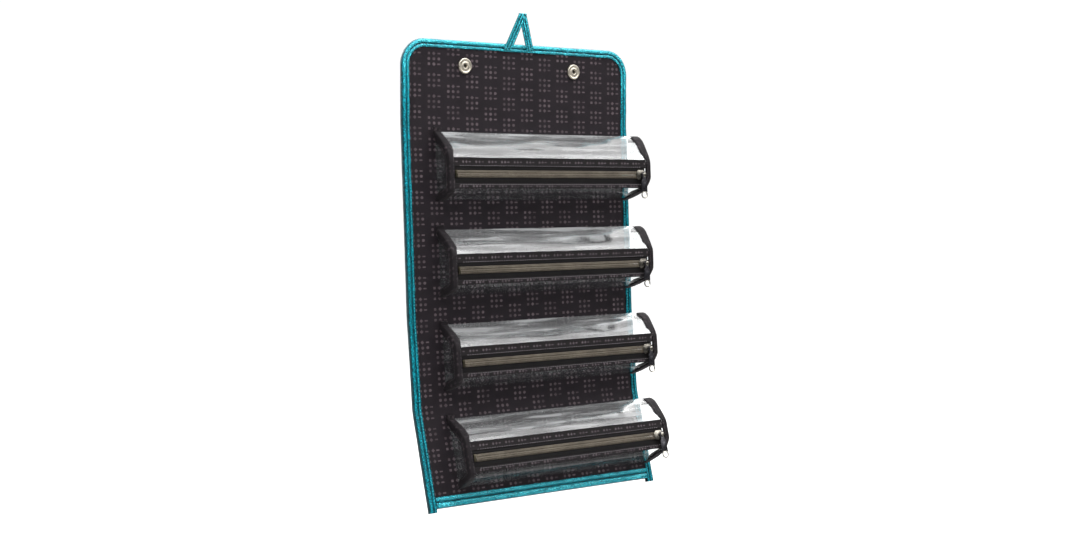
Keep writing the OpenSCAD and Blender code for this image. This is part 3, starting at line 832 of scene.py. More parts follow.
TAIL = 5.0
for k in (1, 2, 3, 4):
    lo, hi = STRIP[k]
    bag, thr = Bag(), Bag()
    if k == 1:
        paths = [corner_path(lo)]
    else:
        z0 = max(lo, -TAIL)
        paths = [side_path(s, z0, hi) for s in (-1, 1)]
    for pts, nrm in paths:
        sweep_binding(bag, pts, nrm)
        sel = pts[:, 1] > 4.0 if k == 4 else np.ones(len(pts), bool)
        for y, ny in ((-1.36, -1), (4.78, 1)):
            stitch_row(thr, *binding_line(pts[sel], nrm[sel], 7.1, y, ny), pitch=3.1, length=2.1, r=0.3, seed=k)
    ob = bag.make("vis_edge_binding_%d" % k, TEAL, cloth_map)
    bend_strip(ob, k)
    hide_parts(*(["flap_binding"] if k == 1 else []), "section_%d_side_bindings" % k)
    ob = thr.make("vis_edge_stitching_%d" % k, THREAD_TEAL, cloth_map)
    bend_strip(ob, k)

# bottom binding, a straight strip between the side bindings
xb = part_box("bottom_binding")[1].x / MM
bag, thr = Bag(), Bag()
xs = np.linspace(-xb, xb, 130)
R = []
for x in xs:
    ring = []
    for j, (d, y) in enumerate(PROFILE):
        zz = d - 1.55
        if j < N_SHOWN and 0.3 < d < 11.7:
            y = y + 0.15 * WB(x / 3.3 + 99, j * 0.55) + 0.10 * WB2(x / 9.0 + 50, j * 0.3)
        if 1.4 <= d <= 1.8 and j >= N_SHOWN:
            zz = -0.2
        ring.append((x, y, min(zz, 11.0)))
    R.append(ring)
bag.add(*rings(R))
ob = bag.make("vis_bottom_binding", TEAL, place_map(4))
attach(ob, "section_4"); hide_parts("bottom_binding")
for y, ny in ((-1.36, -1), (4.78, 1)):
    P = np.stack([xs[2:-2], np.full(126, y), np.full(126, 7.65)], 1)
    stitch_row(thr, P, np.repeat([[0, ny, 0]], 126, 0), pitch=3.1, length=2.1, r=0.3, seed=9)
ob = thr.make("vis_bottom_stitching", THREAD_TEAL, place_map(4))
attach(ob, "section_4")


# ------------------------------------------------------------------ hanging loop
def strap():
    """A hemmed strap: up the left leg, folded over at the top, down the right leg behind it."""
    top = (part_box("hanging_loop")[1].z - ZS) / MM - 0.4
    foot = (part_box("hanging_loop")[0].z - ZS) / MM
    ym = -2.45
    rows = []
    def leg(t, x0, x1, y0, y1, h0, h1, ny, rev):
        z = foot + (top - foot) * t
        x = x0 + (x1 - x0) * t
        rows.append((np.array([x, y0 + (y1 - y0) * t, z]), h0 + (h1 - h0) * t, np.array([0.0, ny, 0.0])))
    xa = 2.0
    ts = np.linspace(0, 1, 26)
    for t in ts[:-1]:
        leg(t, -18.0, xa, -2.45, -2.9, 5.5, 5.2, -1.0, False)
    for a in np.linspace(0, math.pi, 7):
        rows.append((np.array([xa, ym - 0.45 * math.cos(a), top - 0.35 + 0.45 * math.sin(a)]), 5.2, np.array([0, -math.cos(a), math.sin(a)])))
    for t in ts[::-1][1:]:
        leg(t, 11.8, xa, -2.45, -2.0, 5.05, 5.2, 1.0, True)
    w = Wob(31)
    R = []
    K = 17
    for i, (c, h, nn) in enumerate(rows):
        q = np.linspace(-1, 1, K)
        ring = []
        th = 0.42
        for side in (1, -1):
            for qq in (q if side > 0 else q[::-1]):
                pleat = 0.3 * math.exp(-((qq - 0.34) / 0.13) ** 2) + 0.3 * math.exp(-((qq + 0.34) / 0.13) ** 2)
                pleat -= 0.16 * math.exp(-((abs(qq) - 0.76) / 0.14) ** 2)
                edge = th * math.sqrt(max(0.0, 1 - abs(qq) ** 6))
                o = (edge - pleat + 0.07 * float(w(i * 0.55, qq * 3 + 5 + side))) * side
                p = c + np.array([qq * h, 0, 0]) + nn * o
                ring.append(p)
        R.append(ring)
    return rings(R)


bag = Bag(); bag.add(*strap())
ob = bag.make("vis_hanging_loop", TEAL_LOOP, place_map(0), sharp=50)
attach(ob, "flap"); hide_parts("hanging_loop")
thr = Bag()
for cx, lean in ((-16.6, 0.52), (11.3, -0.24)):
    for z0 in (475.2, 478.4):
        P = np.array([[cx - 3.8 + (z0 - 475) * lean, -3.0, z0], [cx + 3.8 + (z0 - 475) * lean, -3.0, z0]])
        stitch_row(thr, P, np.array([[0, -1, 0]] * 2), pitch=1.9, length=1.5, r=0.24, seed=3)
ob = thr.make("vis_loop_stitching", THREAD_TEAL, place_map(0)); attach(ob, "flap")


# ------------------------------------------------------------------ snaps
bag = Bag()
for sx in (-SNAP_X, SNAP_X):
    bag.add(*lathe([(2.05, 0.2), (2.05, -1.5), (2.35, -2.15), (2.9, -2.38), (3.6, -2.35), (4.2, -2.18), (4.6, -1.98), (5.1, -1.92), (5.7, -1.94), (6.1, -2.05),
                    (6.5, -2.28), (7.0, -2.45), (7.6, -2.42), (8.0, -2.1), (8.2, -1.5), (8.2, -0.4), (7.9, -0.12), (3.4, -0.12), (3.4, 0.2)], sx, SNAP_Z, 72), m=0)
    # small raised bars round the flange, plain ornament
    for i in range(24):
        a = 2 * math.pi * i / 24
        T = np.array([math.cos(a), 0, math.sin(a)])
        stitch(bag, np.array([sx, -1.97, SNAP_Z]) + T * 5.35, T, (0, -1, 0), 1.0, 0.22, m=0)
    # painted shade: each socket's hole is floored with a dark disc in place of the shade inside it
    bag.add(*lathe([(0.001, -0.1), (1.2, -0.15), (2.04, -0.3), (2.04, 0.9), (0.001, 0.9)], sx, SNAP_Z, 40), m=1)
    bag.add(*lathe([(0.001, 4.8), (2.5, 4.78), (5.0, 4.68), (6.6, 4.4), (7.3, 4.0), (7.4, 3.62), (7.0, 3.55), (0.001, 3.55)], sx, SNAP_Z, 72), m=0)
ob = bag.make("vis_snap_sockets", None, place_map(0), mats=[SNAP, SNAP_HOLE_SHADE], mat_ids=bag.M)
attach(ob, "flap"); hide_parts("snap_sockets")
bag = Bag()
for sx in (-SNAP_X, SNAP_X):
    bag.add(*lathe([(0.001, -1.1), (3.0, -1.08), (4.6, -0.98), (5.15, -0.65), (5.2, -0.2), (4.9, -0.1), (0.001, -0.1)], sx, STUD_Z, 48))
    bag.add(*lathe([(0.001, 8.2), (0.9, 8.15), (1.45, 7.9), (1.86, 7.3), (1.88, 6.7), (1.6, 6.3), (1.5, 6.0), (1.55, 5.2), (2.2, 4.85), (4.2, 4.8), (5.2, 4.75), (5.75, 4.4), (5.8, 3.7), (5.4, 3.6), (0.001, 3.6)], sx, STUD_Z, 48))
ob = bag.make("vis_snap_studs", SNAP, place_map(4))
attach(ob, "section_4"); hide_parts("snap_studs")


# ------------------------------------------------------------------ pouches
def top_curve(h, n):
    k = (h - 40.0) / 27.0
    return bezier([(-2.3, 0), (-11, -5.5 * k), (-27.5, -16 * k), (-29, -27 * k)], n)


def low_curve(h, n):
    return bezier([(-29, 12 - h), (-29, 7.5 - h), (-20, 4.5 - h), (-2.3, -h)], n)


def outline(h, n=(20, 9, 14)):
    """A pouch's end outline relative to its top edge, (y, z), from the top back corner round the front to the bottom."""
    b = np.stack([np.full(n[1], -29.0), np.linspace(40 - h, 12 - h, n[1] + 1)[1:]], 1)
    return np.concatenate([top_curve(h, n[0]), b, low_curve(h, n[2])[1:]])


def flare(put, zt, h):
    """The overhanging right end stands a little away from the panel, bulges at its top and is drawn in at its lower back corner."""
    def f(P):
        P = np.array(P, float)
        a = np.clip((P[:, 0] - (X_R - 45.0)) / 45.0, 0, 1); a = a * a * (3 - 2 * a)
        b = np.clip((-P[:, 1] - 4.0) / 23.0, 0, 1); b = 1 - b * b * (3 - 2 * b)
        t = np.clip((zt - P[:, 2]) / h, 0, 1)
        up = np.clip(1.0 - t / 0.42, 0, 1); up = up * up * (3 - 2 * up)
        arch = np.sin(np.pi * np.clip((-P[:, 1] - 3.0) / 26.0, 0, 1))
        low = np.clip((t - 0.66) / 0.3, 0, 1); low = low * low * (3 - 2 * low)
        P[:, 0] += a * (2.4 + b * (0.8 - 17.0 * t ** 1.25) - (1 - b) * 11.0 * low) + 2.0 * a * arch * up
        P[:, 2] += 2.6 * a * arch * up
        P[:, 1] -= 3.4 * a * b
        return put(P)
    return f


def outward(p):
    t = np.gradient(p, axis=0)
    t /= np.linalg.norm(t, axis=1)[:, None]
    q = np.stack([t[:, 1], -t[:, 0]], 1)          # down the front, outward is -Y
    return q


def resample(p, n):
    d = np.concatenate([[0], np.cumsum(np.linalg.norm(np.diff(p, axis=0), axis=1))])
    s = np.linspace(0, d[-1], n)
    return np.stack([np.interp(s, d, p[:, c]) for c in range(p.shape[1])], 1)


ZIP_L, ZIP_R = X_L + 6.6, X_R - 6.6
COIL_L, COIL_R = ZIP_L + 2.6, ZIP_R - 1.6
PLATE_Y = -32.2
PULL_X = J["pull_1_swing"]["pos_m"][0] / MM
SLIDER_X = PULL_X - 3.5


WIDER = {-1: 0.42, 1: 0.75}                             # how much wider the end tape is on the windows than on the zip's band


def window(bag, n, prof, x0, x1, seed, sag, amp, cols=72, thick=0.5, m=0):
    """A soft vinyl sheet over a profile, its long edges held, rippled along its length."""
    w = Wob(seed)
    nrm = outward(prof)
    d = np.concatenate([[0], np.cumsum(np.linalg.norm(np.diff(prof, axis=0), axis=1))])
    v = d / d[-1]
    xs = np.linspace(x0, x1, cols)
    u = (xs - x0) / (x1 - x0)
    U, Vv = np.meshgrid(u, v, indexing="ij")
    Xg, Dg = np.meshgrid(xs, d, indexing="ij")
    env = np.sin(np.pi * np.clip(Vv, 0, 1)) ** 0.8
    endf = np.clip(np.minimum(U, 1 - U) * (x1 - x0) / 14.0, 0, 1)
    endf = endf * endf * (3 - 2 * endf)
    disp = -sag * env * np.sin(np.pi * U) ** 0.5
    disp += amp * env * endf * (0.6 * w(Xg / 62.0, Dg / 7.5) + 0.4 * w(Xg / 26.0 + 7, Dg / 11.0 + 3) - 0.45)
    disp = np.minimum(disp, 0.15)
    P = np.zeros(U.shape + (3,))
    P[..., 0] = Xg
    P[..., 1] = prof[None, :, 0] + nrm[None, :, 0] * disp
    P[..., 2] = prof[None, :, 1] + nrm[None, :, 1] * disp
    Q = P.copy()
    Q[..., 1] -= nrm[None, :, 0] * thick
    Q[..., 2] -= nrm[None, :, 1] * thick
    bag.add(*slab(P, Q), m=m)


def pouch(n):
    zt, h = POUCH_Z[n], POUCH_H[n]
    put = place_map(n)
    soft = flare(put, zt, h)
    body = BODY[n]
    base = outline(h)
    full = base.copy(); full[:, 1] += zt
    fn = outward(base)
    rs = np.random.RandomState(100 + n)

    # --- clear vinyl: the top window, the lower window, the back sheet and the folded seams at its ends
    bag = Bag()
    a = top_curve(h, 26)
    a[:, 1] += zt
    window(bag, n, a, X_L + 1.6, X_R - 1.6, 240 + n, 0.9 + 0.25 * (n % 2), 0.6)
    c = low_curve(h, 18)
    c[:, 1] += zt
    window(bag, n, c, X_L + 1.6, X_R - 1.6, 300 + n, 0.5, 0.2, m=1)
    # the top edge is turned over into a narrow double hem
    hem = resample(a[:5], 6); hem = hem + outward(hem) * 0.42
    window(bag, n, hem, X_L + 1.8, X_R - 1.8, 350 + n, 0.0, 0.0, thick=0.35, m=2)
    bk = np.stack([np.linspace(-2.2, -2.2, 14), np.linspace(zt - 1.0, zt - h + 1.0, 14)], 1)
    wv = Wob(400 + n)
    xs = np.linspace(X_L + 2, X_R - 2, 60)
    P = np.zeros((60, 14, 3)); P[..., 0] = xs[:, None]; P[..., 2] = bk[None, :, 1]
    vv = np.linspace(0, 1, 14)[None, :]
    P[..., 1] = -2.25 - 0.35 * np.sin(np.pi * vv) * (0.5 + 0.5 * wv(xs[:, None] / 30.0, vv * 4))
    Q = P.copy(); Q[..., 1] += 0.35
    bag.add(*slab(P, Q), m=1)
    for x0, x1 in ((X_L + 2.0, X_L + 8.0), (X_R - 8.0, X_R - 2.0)):
        gx = np.linspace(x0, x1, 5); gz = np.linspace(zt - 1.6, zt - h + 2.5, 16)
        P = np.zeros((5, 16, 3)); P[..., 0] = gx[:, None]; P[..., 2] = gz[None, :]
        P[..., 1] = -3.3 - 0.25 * np.sin(np.linspace(0, 3, 16))[None, :] - 0.12 * np.abs(gx - (x0 + x1) / 2)[:, None]
        Q = P.copy(); Q[..., 1] += 0.4
        bag.add(*slab(P, Q), m=2 if x0 > 0 else 1)
    vin = bag.make("vis_pouch_%d_vinyl" % n, None, soft, sharp=60, mats=[VINYL, VINYL_LOW, VINYL_HEM], mat_ids=bag.M)
    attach(vin, body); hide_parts("pouch_%d_vinyl" % n)

    # --- end panels: D-shaped sheets, a little bowed
    bag = Bag()
    ring0 = resample(np.concatenate([full, [[-2.3, zt - h * 0.75], [-2.3, zt - h * 0.5], [-2.3, zt - h * 0.25]], full[:1]]), 61)[:-1]
    cen = np.array([-15.0, zt - h * 0.54])
    for xs0, bow in ((X_L + 1.4, -1), (X_R - 1.9, 1)):
        for_side = []
        wv = Wob(500 + n + (bow > 0) * 7)
        layers = []
        for dx in (0.0, 0.5):
            G = []
            for q in (0.04, 0.25, 0.45, 0.65, 0.82, 0.93, 0.985):
                pt = cen + (ring0 - cen) * q
                xx = xs0 + dx + (0.55 * (1 - q ** 2) * wv(pt[:, 1] / 15.0, pt[:, 0] / 12.0 + 5) + 0.25 * (1 - q * q) * bow)
                G.append(np.stack([xx, pt[:, 0], pt[:, 1]], 1))
            layers.append(G)
        allr = layers[0] + layers[1][::-1]
        V, F = rings(allr, cap=False)
        K = 60
        # close the two small middles
        F = list(F)
        F.append([k for k in range(K)][::-1]); F.append([(len(allr) - 1) * K + k for k in range(K)])
        bag.add(V, F)
    ob = bag.make("vis_pouch_%d_end_panels" % n, VINYL_LOW, soft, sharp=60)
    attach(ob, body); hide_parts("pouch_%d_end_panels" % n)

    # --- end bindings: black tape folded over the end seams, raw tips standing up at the top
    bag, thr = Bag(), Bag()
    for side in (-1, 1):
        xe = X_L if side < 0 else X_R
        if side < 0:
            tip = np.array([[-4.4 + 0.5 * rs.uniform(-1, 1), 4.6 + rs.uniform(-0.8, 0.8)], [-3.9, 3.0], [-3.3, 1.4]])
            core = np.concatenate([tip, resample(base[1:], 62)])
        else:
            # the overhanging end's top corner is turned over
            tip = np.array([[-2.5, -7.0], [-2.45, -4.5], [-2.7, -2.2], [-3.4, -0.9]])
            core = np.concatenate([tip, resample(base[2:], 62)])
        core = resample(core, 78)
        nn = outward(core)
        for _ in range(3):
            nn[1:-1] = (nn[:-2] + nn[1:-1] + nn[2:]) / 3
        nn /= np.linalg.norm(nn, axis=1)[:, None]
        # (in from the end along x, out from the outline)
        prof = [(6.2, 0.12), (6.25, 0.55), (5.9, 0.95), (4.6, 1.12), (2.8, 1.3), (1.3, 1.28), (0.45, 0.95), (0.05, 0.3), (0.0, -0.6),
                (0.08, -2.2), (0.02, -3.8), (0.1, -4.9), (0.4, -5.4), (0.9, -5.45), (1.2, -5.2), (1.3, -2.5), (1.35, -0.3), (1.9, 0.05), (4.0, 0.1)]
        wv = Wob(600 + n * 3 + side)
        R = []
        for i, (p, q) in enumerate(zip(core, nn)):
            # the ring narrows where the outline starts and ends at the panel
            zrel = p[1]
            ta = np.clip((i - 3) / 7.0, 0, 1); tb = np.clip((len(core) - 1 - i) / 6.0, 0, 1)
            k = (0.35 if side < 0 else 0.8) + (0.65 if side < 0 else 0.2) * min(ta, tb)
            ring = []
            wide = 1.0 + WIDER[side] * float(np.clip((p[0] + 28.4) / 4.0, 0, 1))
            for j, (dx, dn) in enumerate(prof):
                wob = 0.14 * float(wv(i * 0.5, j * 0.4))
                if dx > 1.5:
                    dx = dx * wide
                if dn < -0.4:
                    dn = dn * k * 1.3
                out = dn + (wob if 0 < j < 17 and dn > 0.3 else 0)
                xx = xe - side * (dx + (wob if j < 4 else 0.5 * abs(wob)))
                y = p[0] + q[0] * out; z = p[1] + q[1] * out + zt
                ring.append((xx, min(y, -1.7), z))
            R.append(ring)
        bag.add(*rings(R))
        sel = slice(9, len(core) - 3)
        L1 = np.stack([xe - side * 4.7 * (1.0 + WIDER[side] * np.clip((core[:, 0] + 28.4) / 4.0, 0, 1)), core[:, 0] + nn[:, 0] * 1.12, core[:, 1] + nn[:, 1] * 1.12 + zt], 1)[sel]
        N1 = np.stack([np.zeros(len(core)), nn[:, 0], nn[:, 1]], 1)[sel]
        stitch_row(thr, L1, N1, pitch=2.9, length=1.9, r=0.24, seed=n)
        L2 = np.stack([np.full(len(core), xe + side * 0.02), core[:, 0] - nn[:, 0] * 5.0, core[:, 1] - nn[:, 1] * 5.0 + zt], 1)[slice(14, len(core) - 8)]
        stitch_row(thr, L2, np.repeat([[side, 0, 0]], len(L2), 0), pitch=2.9, length=1.9, r=0.24, seed=n + 5)
    ob = bag.make("vis_pouch_%d_end_bindings" % n, BINDTAPE, soft, sharp=50)
    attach(ob, body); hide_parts("pouch_%d_end_bindings" % n)
    ob = thr.make("vis_pouch_%d_end_stitching" % n, THREAD_DARK, soft)
    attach(ob, body)

    # --- printed facings above and below the zip
    zc = zt - (h - 26.25)
    bag, thr = Bag(), Bag()
    for (z0, z1, sd) in ((zt - h + 33.6, zt - h + 43.2, 1), (zt - h + 11.5, zt - h + 16.5, 2)):
        xs = np.linspace(ZIP_L - 1.2, ZIP_R + 1.2, 110)
        wv = Wob(700 + n * 5 + sd)
        R = []
        hh = z1 - z0
        for x in xs:
            e = float(wv(x / 11.0)) * 0.22
            pts = [(z0 + e, -29.1), (z0 - 0.05 + e, -29.4), (z0 + 0.2 + e, -29.72), (z0 + 0.8 + e, -29.88), (z0 + 1.5, -29.74), (z0 + hh * 0.5, -29.76 - 0.08 * float(wv(x / 7.0, 8))),
                   (z1 - 1.4, -29.72), (z1 - 0.7, -29.86), (z1 - 0.15 + 0.5 * e, -29.7), (z1 + 0.05 + 0.5 * e, -29.4), (z1 + 0.5 * e, -29.1)]
            R.append([(x, y, z) for z, y in pts])
        bag.add(*rings(R))
        zs_ = (z0 + 1.15) if sd == 1 else (z1 - 1.15)
        P = np.stack([xs[3:-3], np.full(104, -29.82), np.full(104, zs_)], 1)
        stitch_row(thr, P, np.repeat([[0, -1, 0]], 104, 0), pitch=3.0, length=2.1, r=0.2, seed=sd + n)
    facing = facing_cloth("facing_print_%d" % n, [(zt - h + 38.7, 0.0), (zt - h + 13.6, 1.0)])
    ob = bag.make("vis_pouch_%d_zip_facings" % n, facing, put, sharp=60)
    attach(ob, body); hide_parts("pouch_%d_zip_facings" % n)
    ob = thr.make("vis_pouch_%d_facing_stitching" % n, THREAD_GREY, put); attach(ob, body)

    # --- zip tapes, with a raised cord beside the coil
    bag = Bag()
    for sgn, za, zb in ((1, zc + 0.5, zt - h + 39.4), (-1, zc - 0.5, zt - h + 12.6)):
        xs = np.linspace(ZIP_L, ZIP_R, 90)
        wv = Wob(800 + n + sgn)
        R = []
        for x in xs:
            e = 0.07 * float(wv(x / 9.0))
            m_ = zc + sgn * 5.1
            pts = [(za, -28.42), (za, -28.98), (zc + sgn * 4.35, -29.02), (m_, -29.3 + e), (m_ + sgn * 0.8, -29.06), (zb, -29.02), (zb, -28.42)]
            R.append([(x, y, z) for z, y in pts])
        bag.add(*rings(R))
    ob = bag.make("vis_pouch_%d_zip_tapes" % n, TAPE, put, sharp=50)
    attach(ob, body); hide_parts("pouch_%d_zip_tapes" % n)

    # --- the coil: each half's turns reach into the other's, with two sewing cords along them
    bag = Bag()
    pitch = 1.45
    cnt = int((COIL_R - COIL_L) / pitch)
    path = [(4.15, -29.2), (4.2, -29.75), (3.85, -30.3), (3.1, -30.42), (1.3, -30.45), (0.1, -30.4), (-0.5, -30.1), (-0.45, -29.6)]
    for sgn in (1, -1):
        for i in range(cnt):
            x = COIL_L + (i + (0.28 if sgn > 0 else 0.78)) * pitch
            R = []
            for j, (dz, y) in enumerate(path):
                dz = dz * 0.86
                a, b = path[max(j - 1, 0)], path[min(j + 1, len(path) - 1)]
                t = np.array([0, b[1] - a[1], (b[0] - a[0]) * sgn]); t /= np.linalg.norm(t)
                s1 = np.array([1.0, 0, 0]); s2 = np.cross(t, s1)
                c = np.array([x + 0.12 * math.sin(j * 0.7), y, zc + sgn * dz])
                R.append([c + (s1 * math.cos(q) * 0.36 + s2 * math.sin(q) * 0.27) for q in np.arange(5) * 2 * math.pi / 5])
            bag.add(*rings(R))
        for dz in (2.1,):
            xs = np.linspace(COIL_L, COIL_R, 120)
            R = [[(x, -30.62 + 0.1 * math.sin(x * 4.3) + 0.2 * math.cos(q), zc + sgn * dz + 0.2 * math.sin(q)) for q in np.arange(6) * math.pi / 3] for x in xs]
            bag.add(*rings(R))
    ob = bag.make("vis_pouch_%d_zip_coil" % n, COIL, put, sharp=70)
    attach(ob, body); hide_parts("pouch_%d_zip_coil" % n)

    # --- stops
    bag = Bag()
    o = rounded([(ZIP_L + 0.1, zc - 3.9), (COIL_L - 0.2, zc - 3.9), (COIL_L - 0.2, zc + 3.9), (ZIP_L + 0.1, zc + 3.9)], 0.7)
    bag.add(*bevel_plate(o, -31.0, -29.1, 0.3))
    for s in (-1, 1):
        o = rounded([(COIL_R + 0.2, zc + s * 0.6), (ZIP_R - 0.1, zc + s * 0.6), (ZIP_R - 0.1, zc + s * 3.9), (COIL_R + 0.2, zc + s * 3.9)], 0.4)
        bag.add(*bevel_plate(o, -31.0, -29.1, 0.25))
    ob = bag.make("vis_pouch_%d_zip_stops" % n, STOP, put)
    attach(ob, body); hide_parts("pouch_%d_zip_stops" % n)

    # --- slider: crowned top plate, side flanges, bridge, wedge blade, back plate, pivot with a domed head
    bag = Bag()
    l, w = 6.2, 5.25
    def at(o): return np.asarray(o) + np.array([SLIDER_X, zc])
    sh = rounded([(-l, -w + 2.6), (-l + 2.4, -w), (l - 2.0, -w + 0.1), (l, -w + 2.2), (l, w - 2.2), (l - 2.0, w - 0.1), (-l + 2.4, w), (-l, w - 2.6)], 1.3, 5)
    bag.add(*bevel_plate(at(sh), PLATE_Y + 0.35, PLATE_Y + 1.3, 0.4))
    sh2 = rounded([(-l + 1.6, -w + 2.8), (-l + 3.0, -w + 1.6), (l - 2.2, -w + 1.6), (l - 1.2, 0), (l - 2.2, w - 1.6), (-l + 3.0, w - 1.6), (-l + 1.6, w - 2.8)], 1.2, 4)
    bag.add(*bevel_plate(at(sh2), PLATE_Y, PLATE_Y + 0.6, 0.3))
    for s in (-1, 1):
        fl = [(-l + 2, s * (w - 0.75)), (l - 2, s * (w - 0.75)), (l - 2, s * w), (-l + 2, s * w)]
        bag.add(*bevel_plate(at(rounded(fl, 0.3, 3)), PLATE_Y + 1.1, -29.5, 0.15))
    bag.add(*bevel_plate(at(rounded([(0.5, -0.3), (4.5, -0.3), (4.5, 0.3), (0.5, 0.3)], 0.2, 3)), PLATE_Y + 1.2, -28.1, 0.1))
    bp_ = rounded([(-l + 1, -3), (-l + 2.5, -w + 0.8), (l - 1, -w + 0.8), (l - 1, w - 0.8), (-l + 2.5, w - 0.8), (-l + 1, 3)], 0.8, 4)
    bag.add(*bevel_plate(at(bp_), -28.2, -27.2, 0.25))
    px, pz = PULL_X, zc
    bag.add(*lathe([(0.001, -35.0), (1.1, -34.98), (1.9, -34.8), (2.35, -34.5), (2.3, -34.25), (1.2, -34.2), (1.2, -32.35), (1.9, -32.2), (2.2, -31.9), (0.001, -31.9)], px, pz, 40))
    ob = bag.make("vis_pouch_%d_slider" % n, SLIDER, put)
    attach(ob, "slider_%d" % n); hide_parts("pouch_%d_slider" % n)

    # --- pull: a black tab hung on the pivot, its lower hole rimmed in metal
    bag = Bag()
    zt_ = -26.5 + 4.3
    K = 64
    def at(o): return np.asarray(o) + np.array([px, pz])
    y0, y1 = -33.8, -32.6
    eye = circle(0, 0, 3.3, K, -math.pi / 2)
    bag.add(*bevel_plate(at(eye), y0, y1, 0.2, hole=at(circle(0, 0, 1.29, K, -math.pi / 2))), m=0)
    body_o = rounded([(-2.3, -2.2), (-2.6, -5.2), (-4.0, -7.2), (-4.1, -12), (-4.1, zt_ + 2.5), (-2.6, zt_ + 3.3), (2.6, zt_ + 3.3), (4.1, zt_ + 2.5), (4.1, -12), (4.0, -7.2), (2.6, -5.2), (2.3, -2.2)][::-1], 0.9, 4)
    bag.add(*bevel_plate(at(body_o), y0, y1, 0.28), m=0)
    inner = rounded([(-2.6, -8.5), (-2.6, zt_ + 6.0), (2.6, zt_ + 6.0), (2.6, -8.5)][::-1], 0.9, 4)
    bag.add(*bevel_plate(at(inner), y0 - 0.12, y0 + 0.3, 0.12), m=0)
    bag.add(*bevel_plate(at(circle(0, zt_, 4.3, K)), y0, y1, 0.35, hole=at(circle(0, zt_, 3.1, K))), m=1)
    ob = bag.make("vis_pouch_%d_pull" % n, None, put, mats=[GUN, NICKEL], mat_ids=bag.M)
    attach(ob, "pull_%d" % n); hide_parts("pouch_%d_pull" % n)


for n in (1, 2, 3, 4):
    pouch(n)

# rows of stitching on the back where the pouches are sewn through the panel
for k in (1, 2, 3, 4):
    thr = Bag()
    for n, zp in POUCH_Z.items():
        for zz in (zp - 3.0, zp - POUCH_H[n] + 3.5):
            if STRIP[k][0] < zz <= STRIP[k][1]:
                P = np.stack([np.linspace(X_L + 2, X_R - 2 if X_R < 141 else 138, 60), np.full(60, 3.62), np.full(60, zz)], 1)
                stitch_row(thr, P, np.repeat([[0, 1, 0]], 60, 0), pitch=3.2, length=2.2, r=0.3, seed=n)
    ob = thr.make("vis_back_stitching_%d" % k, THREAD_TEAL, cloth_map)
    bend_strip(ob, k)

# ------------------------------------------------------------------ stage, light, camera
lo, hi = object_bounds()
bm = bmesh.new()
floor_z = lo.z - 0.11
seg = 64
cv = bm.verts.new((0, 0, floor_z))
ring_prev = None
for r in (0.5, 1.5, 4.0, 12.0, 40.0):
    ring = [bm.verts.new((r * math.cos(2 * math.pi * i / seg), r * math.sin(2 * math.pi * i / seg), floor_z)) for i in range(seg)]
    for i in range(seg):
        if ring_prev is None:
            bm.faces.new((cv, ring[i], ring[(i + 1) % seg]))
        else:
            bm.faces.new((ring_prev[i], ring[i], ring[(i + 1) % seg], ring_prev[(i + 1) % seg]))
    ring_prev = ring
me = bpy.data.meshes.new("stage_floor"); bm.to_mesh(me); bm.free()
floor = bpy.data.objects.new("stage_floor", me); SCENE.collection.objects.link(floor)
fm = bpy.data.materials.new("stage_floor"); fm.use_nodes = True
fb = fm.node_tree.nodes["Principled BSDF"]
fb.inputs["Base Color"].default_value = (0.93, 0.93, 0.93, 1); fb.inputs["Roughness"].default_value = 0.9
fb.inputs["Specular IOR Level"].default_value = 0.0
fb.inputs["Emission Color"].default_value = (1, 1, 1, 1)
_lp = fm.node_tree.nodes.new("ShaderNodeLightPath")
_mx = fm.node_tree.nodes.new("ShaderNodeMath"); _mx.operation = "MULTIPLY_ADD"
fm.node_tree.links.new(_lp.outputs["Is Camera Ray"], _mx.inputs[0]); _mx.inputs[1].default_value = 0.5; _mx.inputs[2].default_value = 0.05
fm.node_tree.links.new(_mx.outputs[0], fb.inputs["Emission Strength"])
me.materials.append(fm)
floor.visible_glossy = False

world = bpy.data.worlds.new("studio"); SCENE.world = world; world.use_nodes = True
wn = world.node_tree
bg = wn.nodes["Background"]
# seen by the camera: white. Lighting the object: even and soft. Mirrored in it: a bright ceiling, floor and backdrop with gaps, and a dark room in front.
lp = wn.nodes.new("ShaderNodeLightPath")
tc = wn.nodes.new("ShaderNodeTexCoord")
sx_ = wn.nodes.new("ShaderNodeSeparateXYZ"); wn.links.new(tc.outputs["Generated"], sx_.inputs[0])
up = E(world.node_tree, sx_.outputs[2])
sc_ = wn.nodes.new("ShaderNodeVectorMath"); sc_.operation = "MULTIPLY"; sc_.inputs[1].default_value = (1.3, 1.3, 4.5)
wn.links.new(tc.outputs["Generated"], sc_.inputs[0])
nz_ = wn.nodes.new("ShaderNodeTexNoise"); nz_.inputs["Scale"].default_value = 1.0; nz_.inputs["Detail"].default_value = 1.0
wn.links.new(sc_.outputs[0], nz_.inputs["Vector"])
gap_ = E(world.node_tree, nz_.outputs[0]).soft(0.40, 0.60)
behind = E(world.node_tree, sx_.outputs[1])
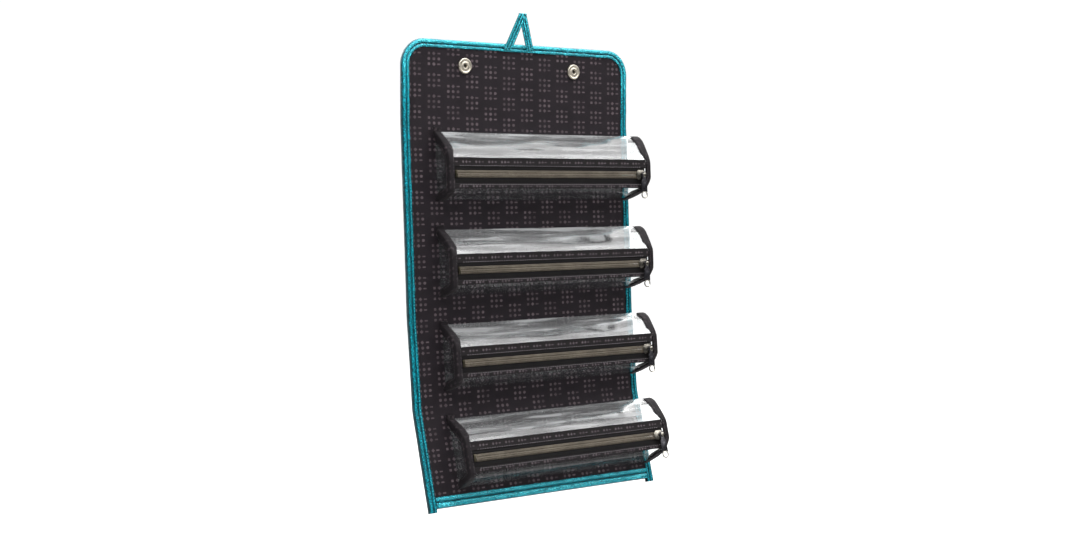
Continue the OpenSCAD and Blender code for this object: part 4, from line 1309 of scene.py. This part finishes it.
mirrored = (up.soft(0.12, 0.62) * (E(world.node_tree, sx_.outputs[0]).soft(-0.5, 0.5) * 3.5 + 0.7) + up.soft(-0.26, -0.6) * 1.3 + behind.soft(0.1, 0.65) * 0.75 + 0.14) * (gap_ * 0.75 + 0.5)
cam_ray, gloss_ray = E(world.node_tree, lp.outputs["Is Camera Ray"]), E(world.node_tree, lp.outputs["Is Glossy Ray"])
other = gloss_ray * (mirrored - 0.55) + 0.55
total = cam_ray * (other * -1.0 + 1.05) + other
bg.inputs["Color"].default_value = (1, 1, 1, 1)
wn.links.new(total.v, bg.inputs["Strength"])


def area(name, loc, aim, size, power, color=(1, 1, 1)):
    l = bpy.data.lights.new(name, "AREA"); l.shape = "RECTANGLE"; l.size, l.size_y = size; l.energy = power; l.color = color
    o = bpy.data.objects.new(name, l); SCENE.collection.objects.link(o)
    o.location = loc
    o.rotation_mode = "QUATERNION"
    o.rotation_quaternion = (Vector(aim) - Vector(loc)).to_track_quat("-Z", "Y")
    o.visible_camera = False
    return o


mid = Vector((0, 0, ZS + 0.24))
area("key", mid + Vector((-1.0, -1.0, 1.25)), mid + Vector((0, 0, 0.05)), (0.6, 0.6), 12)
area("fill", mid + Vector((1.8, -1.0, 0.3)), mid, (0.5, 1.6), 8).visible_glossy = False
area("top", mid + Vector((0.2, -0.7, 1.7)), mid, (1.5, 0.35), 16)
area("back_rim", mid + Vector((-0.4, 1.8, 0.9)), mid, (1.8, 1.2), 14)

cam_data = bpy.data.cameras.new("camera"); cam = bpy.data.objects.new("camera", cam_data)
SCENE.collection.objects.link(cam); SCENE.camera = cam
cam_data.sensor_width = 36.0
cam_data.lens = 1582.2 / 1080 * 36.0
psi, pitch_ = math.radians(37.31), math.radians(-2.98)
fwd = Vector((math.sin(psi) * math.cos(pitch_), math.cos(psi) * math.cos(pitch_), math.sin(pitch_)))
cam.location = Vector((-1.0191, -1.3728, 0.3263 + ZS))
cam.rotation_mode = "QUATERNION"
cam.rotation_quaternion = fwd.to_track_quat("-Z", "Y")
cam_data.clip_start, cam_data.clip_end = 0.05, 100
SCENE.view_settings.view_transform = "Standard"
SCENE.view_settings.look = "None"
SCENE.cycles.transparent_max_bounces = 32
SCENE.cycles.max_bounces = 12
